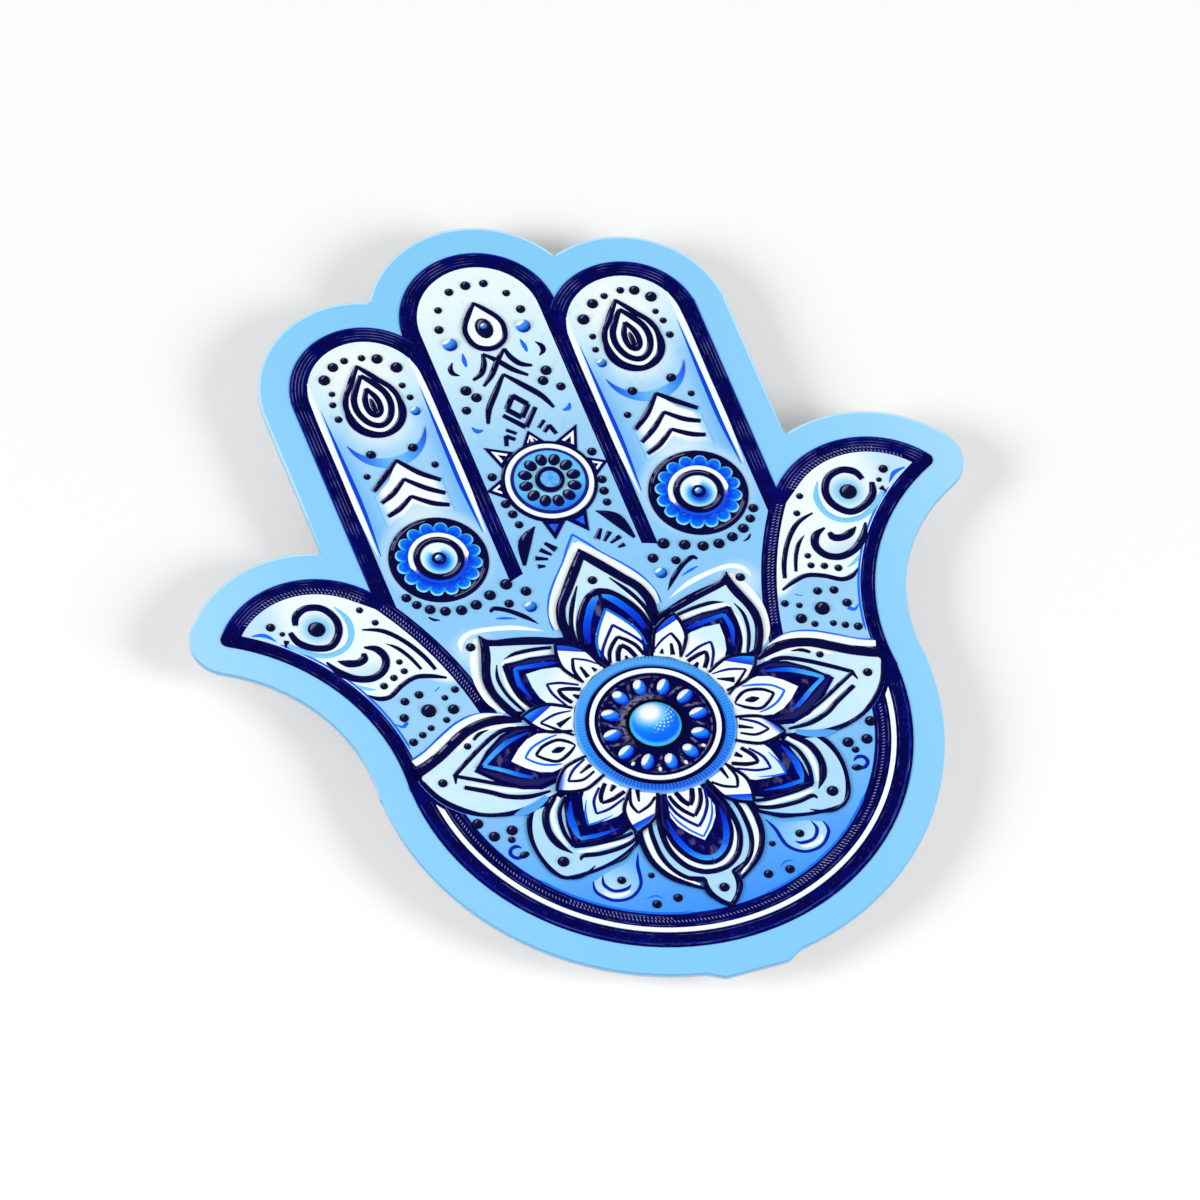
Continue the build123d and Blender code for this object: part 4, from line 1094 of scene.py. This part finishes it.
def end_tree(tree, geometry, glint=BEAD_GLINT):
    """Smooths the result, notes how far each point faces the glint and faces up, and sets the finish."""
    rounded = tree.add("GeometryNodeSetShadeSmooth", inputs={"Geometry": geometry}).outputs[0]
    normal = tree.add("GeometryNodeInputNormal").outputs[0]
    facing = tree.add("ShaderNodeVectorMath", {"operation": "DOT_PRODUCT"},
                      {0: normal, 1: glint.normalized()})
    upward = tree.add("ShaderNodeSeparateXYZ", inputs={0: normal})
    noted = note(tree, rounded, "lit", facing.outputs["Value"])
    noted = note(tree, noted, "flat", upward.outputs["Z"])
    finish = tree.add("GeometryNodeSetMaterial",
                      inputs={"Geometry": noted, "Material": tree.source["Finish"]})
    tree.add("NodeGroupOutput", inputs={0: finish.outputs[0]})
    return tree.tree


def line_tree():
    """Sweeps a half-round section along smooth curves through the drawn points."""
    tree = new_tree("drawn_lines", {
        "Rise": "NodeSocketFloat", "Steps": "NodeSocketInt", "Finish": "NodeSocketMaterial"})
    curve = tree.add("GeometryNodeCurveSplineType", {"spline_type": "CATMULL_ROM"},
                     {"Curve": tree.source["Geometry"]})
    curve = tree.add("GeometryNodeSetSplineResolution", inputs={0: curve.outputs[0], 2: tree.source["Steps"]})
    curve = tree.add("GeometryNodeSetCurveNormal", {"mode": "Z_UP"}, {"Curve": curve.outputs[0]})
    section = tree.add("GeometryNodeCurveArc", inputs={
        "Resolution": 7, "Radius": 1.0, "Start Angle": math.pi, "Sweep Angle": math.pi})
    scale = tree.add("ShaderNodeCombineXYZ", inputs={0: 1.0, 1: tree.source["Rise"], 2: 1.0})
    section = tree.add("GeometryNodeTransform",
                       inputs={"Geometry": section.outputs[0], "Scale": scale.outputs[0]})
    half_width = tree.add("GeometryNodeInputRadius").outputs[0]
    swept = tree.add("GeometryNodeCurveToMesh", inputs={
        "Curve": curve.outputs[0], "Profile Curve": section.outputs[0], "Scale": half_width,
        "Fill Caps": True})
    return end_tree(tree, swept.outputs[0], LINE_GLINT)


def drop_tree():
    """Puts a low half-round drop on each point, with the point's own size and turn."""
    tree = new_tree("ink_drops", {
        "Rise": "NodeSocketFloat", "Rings": "NodeSocketInt", "Finish": "NodeSocketMaterial"})
    ball = tree.add("GeometryNodeMeshUVSphere",
                    inputs={"Segments": 14, "Rings": tree.source["Rings"], "Radius": 1.0})
    place = tree.add("ShaderNodeSeparateXYZ", inputs={0: tree.add("GeometryNodeInputPosition").outputs[0]})
    below = tree.math("LESS_THAN", place.outputs[2], -0.01)
    half = tree.add("GeometryNodeDeleteGeometry", inputs={"Geometry": ball.outputs[0], "Selection": below})
    size = tree.add("GeometryNodeInputNamedAttribute", {"data_type": "FLOAT_VECTOR"}, {"Name": "size"})
    turn = tree.add("GeometryNodeInputNamedAttribute", {"data_type": "FLOAT"}, {"Name": "turn"})
    scale = tree.add("ShaderNodeCombineXYZ", inputs={0: 1.0, 1: 1.0, 2: tree.source["Rise"]})
    sized = tree.add("ShaderNodeVectorMath", {"operation": "MULTIPLY"},
                     {0: size.outputs[0], 1: scale.outputs[0]})
    angles = tree.add("ShaderNodeCombineXYZ", inputs={2: turn.outputs[0]})
    drops = tree.add("GeometryNodeInstanceOnPoints", inputs={
        "Points": tree.source["Geometry"], "Instance": half.outputs[0], "Rotation": angles.outputs[0],
        "Scale": sized.outputs[0]})
    return end_tree(tree, tree.add("GeometryNodeRealizeInstances", inputs={0: drops.outputs[0]}).outputs[0])


def stitch_tree():
    """Lays slanted stitches at even steps along a curve."""
    tree = new_tree("stitch_row", {
        "Pitch": "NodeSocketFloat", "Length": "NodeSocketFloat", "Thickness": "NodeSocketFloat",
        "Lean": "NodeSocketFloat", "Finish": "NodeSocketMaterial"})
    points = tree.add("GeometryNodeCurveToPoints", {"mode": "LENGTH"},
                      {"Curve": tree.source["Geometry"], "Length": tree.source["Pitch"]})
    ball = tree.add("GeometryNodeMeshUVSphere", inputs={"Segments": 6, "Rings": 4, "Radius": 0.5})
    shape = tree.add("ShaderNodeCombineXYZ", inputs={
        0: tree.source["Thickness"], 1: tree.source["Thickness"], 2: tree.source["Length"]})
    stitch = tree.add("GeometryNodeTransform",
                      inputs={"Geometry": ball.outputs[0], "Scale": shape.outputs[0]})
    lean = tree.add("ShaderNodeCombineXYZ", inputs={2: tree.source["Lean"]})
    upright = tree.add("FunctionNodeRotateRotation", {"rotation_space": "GLOBAL"},
                       {0: points.outputs["Rotation"], 1: lean.outputs[0]})
    row = tree.add("GeometryNodeInstanceOnPoints", inputs={
        "Points": points.outputs[0], "Instance": stitch.outputs[0], "Rotation": upright.outputs[0]})
    return end_tree(tree, tree.add("GeometryNodeRealizeInstances", inputs={0: row.outputs[0]}).outputs[0])


LINE_TREE = line_tree()
DROP_TREE = drop_tree()
STITCH_TREE = stitch_tree()


def add_piece(name, mesh):
    """A finished piece of the decal from a mesh that is already in place."""
    piece = bpy.data.objects.new(name, mesh)
    bpy.context.scene.collection.objects.link(piece)
    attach(piece, "decal")
    return piece


def grow(name, data, tree, inputs):
    """Runs a Geometry Nodes tree on a curve or mesh and keeps its result as a plain piece."""
    seed = bpy.data.objects.new(name + "_path", data)
    bpy.context.scene.collection.objects.link(seed)
    modifier = seed.modifiers.new("grow", "NODES")
    modifier.node_group = tree
    for socket in tree.interface.items_tree:
        if socket.in_out == "INPUT" and socket.name in inputs:
            modifier[socket.identifier] = inputs[socket.name]
    graph = bpy.context.evaluated_depsgraph_get()
    mesh = bpy.data.meshes.new_from_object(seed.evaluated_get(graph))
    bpy.data.objects.remove(seed)
    return add_piece(name, mesh)


def line_curve(name, layers, bold=1.0):
    """Curves for lists of drawn lines, each list at its own height, with their twins on the left."""
    curve = bpy.data.curves.new(name, "CURVE")
    curve.dimensions = "3D"
    for height, lines in layers:
        for drawn in lines:
            points = drawn["points"]
            shares = [1.0] * len(points)
            if not drawn["closed"]:
                shares[0], shares[-1] = drawn["ends"]
            for side in (1, -1) if drawn["twin"] else (1,):
                spline = curve.splines.new("POLY")
                spline.points.add(len(points) - 1)
                spline.use_cyclic_u = drawn["closed"]
                for place, (x, y), share in zip(spline.points, points, shares):
                    place.co = (side * x * MM, y * MM, height * MM, 1.0)
                    place.radius = share * bold * drawn["width"] / 2 * MM
    return curve


def draw(name, finish, layers, rise=0.45, steps=5, bold=1.0):
    """A piece of drawn lines. `bold` widens them all."""
    inputs = {"Rise": rise, "Steps": steps, "Finish": finish.material}
    return grow(name, line_curve(name, layers, bold), LINE_TREE, inputs)


def both_halves(drops):
    """Round drops (x, y, radius) of the right half as ovals, with twins for those off the middle line."""
    found = []
    for x, y, radius in drops:
        for side in (1, -1) if x > 0 else (1,):
            found.append((side * x, y, radius, radius, 0.0))
    return found


def drop(name, finish, layers, rise=0.55, rings=8, bold=1.0):
    """A piece of round or oval drops: each layer is a height and its drops."""
    mesh = bpy.data.meshes.new(name + "_points")
    places = []
    sizes = []
    turns = []
    for height, drops in layers:
        for x, y, along, across, turn in drops:
            places.append((x * MM, y * MM, height * MM))
            sizes.extend(bold * size * MM for size in (along, across, min(along, across)))
            turns.append(math.radians(turn))
    mesh.from_pydata(places, [], [])
    mesh.attributes.new("size", "FLOAT_VECTOR", "POINT").data.foreach_set("vector", sizes)
    mesh.attributes.new("turn", "FLOAT", "POINT").data.foreach_set("value", turns)
    inputs = {"Rise": rise, "Rings": rings, "Finish": finish.material}
    return grow(name, mesh, DROP_TREE, inputs)


def round_about(centre, radius, count, along, across, start=90.0):
    """Oval drops evenly round a centre, each pointing outwards."""
    drops = []
    for i in range(count):
        turn = start + 360.0 * i / count
        angle = math.radians(turn)
        place = (centre[0] + radius * math.cos(angle), centre[1] + radius * math.sin(angle))
        drops.append((*place, along, across, turn))
    return drops


def smooth(points, steps=6):
    """Points on a smooth curve through the given ones."""
    found = []
    for i in range(len(points) - 1):
        before, here, there, after = (
            Vector(points[max(0, min(len(points) - 1, i + k))]) for k in (-1, 0, 1, 2))
        for k in range(steps):
            t = k / steps
            bend = (2 * before - 5 * here + 4 * there - after) * t * t
            twist = (3 * here - before - 3 * there + after) * t * t * t
            found.append((2 * here + (there - before) * t + bend + twist) / 2)
    found.append(Vector(points[-1]))
    return found


def settle(name, form, finish):
    """A finished piece from a form that is built up in place."""
    bmesh.ops.recalc_face_normals(form, faces=form.faces)
    mesh = bpy.data.meshes.new(name)
    form.to_mesh(mesh)
    form.free()
    mesh.materials.append(finish.material)
    return add_piece(name, mesh)


def plate(name, finish, height, outlines, thickness=0.04):
    """Thin films on both halves. Each outline is a list of smooth runs that meet at corners."""
    form = bmesh.new()
    for runs in outlines:
        for side in (1, -1):
            rim = []
            for run in runs:
                rim.extend(smooth(run)[:-1])
            rim.append(Vector(runs[-1][-1]))
            corners = [(side * point.x * MM, point.y * MM, height * MM) for point in rim]
            form.faces.new([form.verts.new(corner) for corner in corners])
    raised = bmesh.ops.extrude_face_region(form, geom=form.faces)
    tops = [part for part in raised["geom"] if isinstance(part, bmesh.types.BMVert)]
    bmesh.ops.translate(form, verts=tops, vec=(0, 0, thickness * MM))
    return settle(name, form, finish)


def shrunk(runs, share):
    """An outline's runs drawn in towards the middle of its side away from the tip."""
    middle = (Vector(runs[0][-1]) + Vector(runs[-1][-1])) / 2
    return [[tuple(middle + (Vector(point) - middle) * share) for point in run] for run in runs]


def lathe(name, section, finish, steps=72):
    """A turned piece from a section of (radius, height) points round the Z axis."""
    form = bmesh.new()
    points = [form.verts.new((radius * MM, 0, height * MM)) for radius, height in section]
    edges = [form.edges.new(pair) for pair in zip(points, points[1:])]
    bmesh.ops.spin(form, geom=points + edges, cent=(0, 0, 0), axis=(0, 0, 1), angle=2 * math.pi, steps=steps)
    bmesh.ops.remove_doubles(form, verts=form.verts, dist=WELD)
    for face in form.faces:
        face.smooth = True
    return settle(name, form, finish)


def wear(finish, *nodes):
    """Gives CAD nodes a finish."""
    for node in nodes:
        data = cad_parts[node].data
        data.materials.clear()
        data.materials.append(finish.material)


def twins(*names):
    """Names of the right and left nodes of pairs."""
    return [f"{side}_{name}" for name in names for side in ("right", "left")]


# Finishes of the CAD films
navy = navy_film()
white = white_film()
deep_blue = blue_film("deep_blue_film", DEEP, BRIGHT)
wear(liner_paper(), "release_liner")
wear(navy, "navy_hand", "petal_outlines", "leaf_outlines", "teardrop_lines", "sun_rim", "sun_seeds")
wear(navy, *twins("eye_rim"))
wear(field_film(), "hand_field")
wear(thumb_film(), *twins("thumb_field"))
wear(white, "palm_pinstripe", "rosette_ring", "sun_white", "teardrop_whites")
wear(eye_white_film(), *twins("eye_white"))
wear(panel_film(), *twins("chevron_panel"))
wear(inner_petal_film(), "inner_petals")
wear(capped_petal_film(), "between_petals")
wear(blue_film("leaf_film", rgb(2, 3, 70), rgb(2, 8, 98)), "leaf_blues")
wear(deep_blue, *twins("eye_scallops"))
wear(crescent_film(), *twins("crescent"))
wear(iris_film(), *twins("eye_iris"))
wear(sun_film(), "sun_disc")
wear(hub_film(), "sun_hub")
wear(dish_finish(), "rosette_dish")
places = ("top", "upper_right", "right", "lower_right", "bottom", "lower_left", "left", "upper_left")
wear(petal_film(), *[f"petal_{place}" for place in places])

# The border sheet, with its cut edge eased
card_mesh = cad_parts["base_card"].data.copy()
card_form = bmesh.new()
card_form.from_mesh(card_mesh)
bmesh.ops.remove_doubles(card_form, verts=card_form.verts, dist=WELD)
bmesh.ops.dissolve_limit(card_form, angle_limit=0.01, verts=card_form.verts, edges=card_form.edges)
card_form.to_mesh(card_mesh)
card_form.free()
card_mesh.materials.clear()
card_mesh.materials.append(border_vinyl().material)
card = add_piece("border_sheet", card_mesh)
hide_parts("base_card")
easing = card.modifiers.new("eased_edge", "BEVEL")
easing.width = EASE_WIDTH * MM
easing.segments = 3
easing.limit_method = "ANGLE"
easing.angle_limit = math.radians(EASE_ANGLE)

# Drawn lines and washes
line_ink = ink("line_ink", rgb(5, 6, 62), rgb(150, 154, 196), share=0.8)
lines = draw("ink_lines", line_ink, [
    (FIELD_Z, FIELD_INK), (PETAL_Z, PETAL_INK), (top("right_chevron_panel"), CHEVRONS),
], bold=1.15)
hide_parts("arrow_lines", *twins("chevrons", "fish_lines"))
draw("white_bands", white, [(FIELD_Z, FIELD_WHITE), (PETAL_Z, PETAL_WHITE)], rise=0.12)
blue_ink = ink("blue_ink", rgb(26, 112, 244), rgb(110, 190, 252), low=DEEP)
draw("blue_strokes", blue_ink, [(FIELD_Z, FIELD_BLUE)], rise=0.25, bold=1.2)
fade_ink = ink("fade_ink", rgb(84, 168, 252), rgb(140, 206, 253), low=rgb(40, 130, 250))
draw("petal_fades", fade_ink, [(PETAL_Z + FADE_LIFT, PETAL_FADES)], rise=0.12)
scroll_ink = ink("scroll_ink", rgb(8, 34, 160), rgb(90, 160, 250), low=rgb(4, 14, 110))
scrolls = draw("scroll_lines", scroll_ink, [(FIELD_Z, PALM_SCROLLS), (BAND_Z, BAND_EDGES)],
               rise=0.3)
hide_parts(*twins("palm_scroll"))
finger_ink = ink("finger_ink", rgb(14, 72, 214), rgb(70, 150, 250), low=DEEP)
draw("finger_edges", finger_ink, [(FIELD_Z, FINGER_EDGES)], rise=0.25)
# A painted highlight drawn along the border's upper edge
lip_ink = ink("lip_ink", rgb(186, 230, 254), rgb(214, 242, 255), low=rgb(170, 222, 253))
draw("card_edge_highlight", lip_ink, [(top("base_card"), CARD_EDGE_HIGHLIGHT)], rise=0.15)
plate("drop_washes", drop_wash(), FIELD_Z, DROP_WASHES, thickness=THIN_PLATE)
cyan_ink = ink("cyan_ink", rgb(128, 206, 252), rgb(190, 234, 254), low=rgb(90, 182, 250))
draw("cyan_strokes", cyan_ink, [(FIELD_Z, FIELD_CYAN)], rise=0.25)
draw("band_threads", thread_finish(), [(BAND_Z, THREADS)], rise=0.6, steps=2)

# Rings round the eyes and the sun
draw("roundel_rings", line_ink, [
    (EYE_RIM_Z, [ring(0.85, EYE, EYE_RIM_R)]),
    (IRIS_Z, [ring(0.70, EYE, IRIS_RIM_R)]),
    (SUN_RIM_Z, [ring(0.50, SUN, SUN_RIM_R, twin=False)]),
    (top("sun_hub"), [ring(0.58, SUN, HUB_RIM_R, twin=False)]),
    (IRIS_Z, [ring(0.36, EYE, PUPIL_RIM_R)]),
])

# Pale glints along the crests of the eyes' rings, towards the light and opposite
outer_glints = []
inner_glints = []
for eye_x in (-FINGER_X, FINGER_X):
    for start, end in ((86.0, 152.0), (-92.0, -30.0)):
        path = arc((eye_x, EYE_Y, EYE_RIM_R), start, end)
        outer_glints.append(line(0.13, *path, ends=(0.2, 0.2), twin=False))
    for start, end in ((40.0, 156.0), (-100.0, -32.0)):
        path = arc((eye_x, EYE_Y, IRIS_RIM_R), start, end)
        inner_glints.append(line(0.11, *path, ends=(0.2, 0.2), twin=False))
glint_ink = ink("glint_ink", rgb(112, 108, 142), rgb(170, 164, 190), low=rgb(70, 66, 110))
draw("ring_glints", glint_ink, [
    (EYE_RIM_Z + RIM_GLINT_LIFT, outer_glints), (IRIS_Z + IRIS_GLINT_LIFT, inner_glints),
], rise=0.6)

disc_ring = ring(0.42, SUN, SUN_DISC_R, twin=False)
draw("sun_disc_ring", scroll_ink, [(top("sun_white"), [disc_ring])], rise=0.3)

# Drops and beads
ink_bead = bead("ink_bead", rgb(2, 2, 24), rgb(8, 8, 56), rgb(120, 122, 160), start=0.72, flattest=0.91)
drop("ink_dots", ink_bead, [
    (FIELD_Z, both_halves(INK_DROPS)), (PETAL_Z, both_halves(PETAL_DROPS)), (FIELD_Z, CURL_DROPS),
], bold=1.08)
blue_bead = bead("blue_bead", rgb(8, 40, 150), rgb(60, 150, 250), WHITE, start=0.72)
drop("blue_dots", blue_bead, [(FIELD_Z, both_halves(BLUE_DROPS))], rise=0.7)
seed_bead = bead("seed_bead", rgb(0, 64, 238), rgb(44, 146, 253), WHITE, start=0.62)
seed_drops = round_about(ROSETTE, SEED_RING_R, SEED_COUNT, *SEED_SIZE)
seeds = drop("seed_beads", seed_bead, [(DISH_Z, seed_drops)], rise=0.6)
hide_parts("rosette_seeds")
speck_bead = bead("speck_bead", rgb(70, 190, 250), WHITE, WHITE)
specks = round_about(ROSETTE, SPECK_RING_R, SEED_COUNT, *SPECK_SIZE, start=105.0)
lowest_specks = specks[4:8]
drop("seed_specks", speck_bead, [(DISH_Z, lowest_specks)], rise=0.5)
lobes = []
for side in (1, -1):
    lobes += round_about((side * FINGER_X, EYE_Y), LOBE_RING_R, LOBE_COUNT, *LOBE_SIZE)
drop("eye_lobes", lobe_finish(), [(SCALLOP_Z, lobes)], rise=0.25)
eye_arcs = [line(0.64, *arc((*EYE, EYE_ARC_R), -14.0, 194.0), ends=(0.2, 0.2))]
draw("eye_arcs", white, [(SCALLOP_Z + EYE_ARC_LIFT, eye_arcs)], rise=0.1)
sun_seed = bead("sun_seed_bead", rgb(3, 3, 40), rgb(5, 6, 66), rgb(150, 146, 176), start=0.72, flattest=0.91)
sun_drops = round_about(SUN, SUN_SEED_RING_R, SUN_SEED_COUNT, *SUN_SEED_SIZE)
seeds = drop("sun_seed_beads", sun_seed, [(top("sun_disc"), sun_drops)], rise=0.4)
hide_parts("sun_seeds")
pupil_drops = both_halves([(*EYE, PUPIL_R)])
pupils = drop("eye_pupils", blue_bead, [(IRIS_Z, pupil_drops)], rise=0.6)
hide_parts(*twins("eye_pupil"))
fish_drops = both_halves([(*FISH_EYE, FISH_EYE_R)])
fish = drop("fish_eyes", ink_bead, [(FIELD_Z, fish_drops)], rise=0.29)
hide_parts(*twins("fish_pupil"))

# Nested films and lines of the rosette, the sun and the teardrops
plate("leaf_cores", leaf_core_finish(), LEAF_Z, LEAF_CORES)
draw("leaf_stripes", leaf_stripe_finish(), [(LEAF_Z + STRIPE_LIFT, LEAF_BLUE)], rise=0.12)
draw("leaf_creases", line_ink, [(LEAF_Z + CREASE_LIFT, LEAF_CREASES)], rise=0.3)
plate("ray_gaps", white, SUN_RIM_Z, RAY_GAPS, thickness=THIN_PLATE)
ray_cores = [shrunk(outline, RAY_CORE_SHARE) for outline in RAY_GAPS]
plate("ray_cores", navy, SUN_RIM_Z + THIN_PLATE, ray_cores, thickness=THIN_PLATE)
plate("ray_hearts", deep_blue, SUN_RIM_Z, RAY_HEARTS, thickness=THIN_PLATE)
hearts = draw("inner_petal_lines", line_ink, [(INNER_Z, INNER_INK), (BETWEEN_Z, BETWEEN_INK)],
              rise=0.3, bold=1.25)
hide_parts("inner_petal_cores")
thin_ink = ink("thin_ink", rgb(6, 26, 132), rgb(110, 150, 230), low=rgb(3, 8, 84))
draw("thin_petal_lines", thin_ink, [(INNER_Z, INNER_THIN), (BETWEEN_Z, BETWEEN_THIN)],
     rise=0.3, bold=1.3)
draw("inner_petal_blues", blue_ink, [(INNER_Z, INNER_BLUE)], rise=0.3)
rings = draw("teardrop_rings", line_ink, [(TEARDROP_Z, DROP_RINGS)], rise=0.3)
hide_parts("teardrop_cores")
middle_eye = (0.0, 55.2, 1.0, 1.4, 0.0)
drop("teardrop_eye", ink_bead, [(TEARDROP_Z, [middle_eye])], rise=0.3)
side_hearts = [(side * DROP_X, 48.95, 1.15, 0.32, 90.0) for side in (1, -1)]
drop("teardrop_hearts", ink_bead, [(TEARDROP_Z, side_hearts)], rise=0.3)
middle_bead = (0.0, 55.3, 0.42, 0.42, 0.0)
drop("teardrop_bead", blue_bead, [(TEARDROP_Z + BEAD_LIFT, [middle_bead])])

# The rosette's boss
crown_r = COLLAR_W / 2 + COLLAR_OVERHANG / 2
crown_ring_r = COLLAR_R + COLLAR_OVERHANG - crown_r
crown_path = arc((*ROSETTE, crown_ring_r), 0.0, 352.5, steps=47)
collar_path = [line(2 * crown_r, *crown_path, closed=True, twin=False)]
collar_height = top("rosette_collar") - FIELD_Z
collar = draw("collar_ring", collar_finish("collar_finish", 0.0), [(FIELD_Z, collar_path)],
              rise=CROWN_SHARE * collar_height / crown_r)
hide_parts("rosette_collar")
ribs = round_about(ROSETTE, crown_ring_r, COLLAR_RIBS, crown_r, RIB_HALF_WIDTH)
drop("collar_ribs", collar_finish("rib_finish", 0.35), [(FIELD_Z, ribs)],
     rise=RIB_SHARE * collar_height / RIB_HALF_WIDTH, rings=6)
dome_low, dome_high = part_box("rosette_dome")
dome_height = (dome_high.z - dome_low.z) / MM
dome_section = []
for i in range(DOME_STEPS + 1):
    angle = math.pi / 2 * i / DOME_STEPS
    dome_section.append((DOME_R * math.cos(angle), DISH_Z + dome_height * math.sin(angle)))
dome = lathe("dome_cap", dome_section, dome_finish())
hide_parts("rosette_dome")

# Stitches on the bands
stitch_finish = blue_film("stitch_finish", rgb(92, 94, 156), rgb(160, 162, 206))
for number, (path, pitch) in enumerate(STITCH_ROWS):
    row = line_curve(f"stitches_{number}", [(BAND_Z, [line(0.1, *path)])])
    inputs = {
        "Pitch": pitch * MM, "Length": STITCH_LENGTH * MM, "Thickness": STITCH_THICKNESS * MM,
        "Lean": math.radians(STITCH_LEAN), "Finish": stitch_finish.material,
    }
    grow(f"stitches_{number}", row, STITCH_TREE, inputs)


def stage():
    """A white floor under the decal, a soft light from either side, and a white world that looks brighter
    than it lights. Sizes here are in metres.
    """
    mesh = bpy.data.meshes.new("floor")
    reach = 4.0
    depth = -0.0042
    corners = [(-reach, -reach, depth), (reach, -reach, depth), (reach, reach, depth), (-reach, reach, depth)]
    mesh.from_pydata(corners, [], [(0, 1, 2, 3)])
    floor = bpy.data.objects.new("floor", mesh)
    bpy.context.scene.collection.objects.link(floor)
    paper = Finish("floor_white", rough=1.0, specular=0.0).paint((0.98, 0.98, 0.98, 1.0))
    mesh.materials.append(paper.material)

    world = bpy.data.worlds.new("studio")
    bpy.context.scene.world = world
    world.use_nodes = True
    tree = Tree(world.node_tree)
    background = world.node_tree.nodes["Background"]
    path = tree.add("ShaderNodeLightPath")
    seen = Value(tree, path.outputs["Is Camera Ray"])
    for ray in ("Is Glossy Ray", "Is Transmission Ray"):
        seen = tree.math("MAXIMUM", seen, path.outputs[ray])
    background.inputs["Color"].default_value = (1.0, 1.0, 1.0, 1.0)
    as_light = 0.52
    tree.put(background.inputs["Strength"], seen * (1.0 - as_light) + as_light)

    lamp_distance = 1.5
    for name, toward in (("left", (-7.4, -0.4, 4.5)), ("right", (5.7, -5.2, 4.5))):
        lamp = bpy.data.lights.new(name, "AREA")
        lamp.shape = "DISK"
        lamp.size = 0.7
        lamp.energy = 11.5
        holder = bpy.data.objects.new(name, lamp)
        bpy.context.scene.collection.objects.link(holder)
        holder.location = Vector(toward).normalized() * lamp_distance
        holder.rotation_euler = (-holder.location).to_track_quat("-Z", "Y").to_euler()


def aim_camera():
    """A long lens at the photograph's angle: the picture's right and up directions, seen from far away."""
    right = Vector((0.9352, -0.3435, 0.0855)).normalized()
    up = Vector((0.2431, 0.7989, 0.5500))
    up = (up - right * up.dot(right)).normalized()
    back = right.cross(up)
    frame_width = 132.02 * MM
    distance = 2.5
    palm_right = 6.055 * MM
    palm_below = 14.0 * MM
    lens = bpy.data.cameras.new("camera")
    lens.sensor_width = 36.0
    lens.lens = lens.sensor_width * distance / frame_width
    lens.clip_end = 20.0
    camera = bpy.data.objects.new("camera", lens)
    bpy.context.scene.collection.objects.link(camera)
    centre = Vector((0, 0, FIELD_Z * MM)) - right * palm_right + up * palm_below
    turn = Matrix((right, up, back)).transposed().to_4x4()
    camera.matrix_world = Matrix.Translation(centre + back * distance) @ turn
    bpy.context.scene.camera = camera


stage()
aim_camera()
bpy.context.scene.view_settings.view_transform = "Standard"
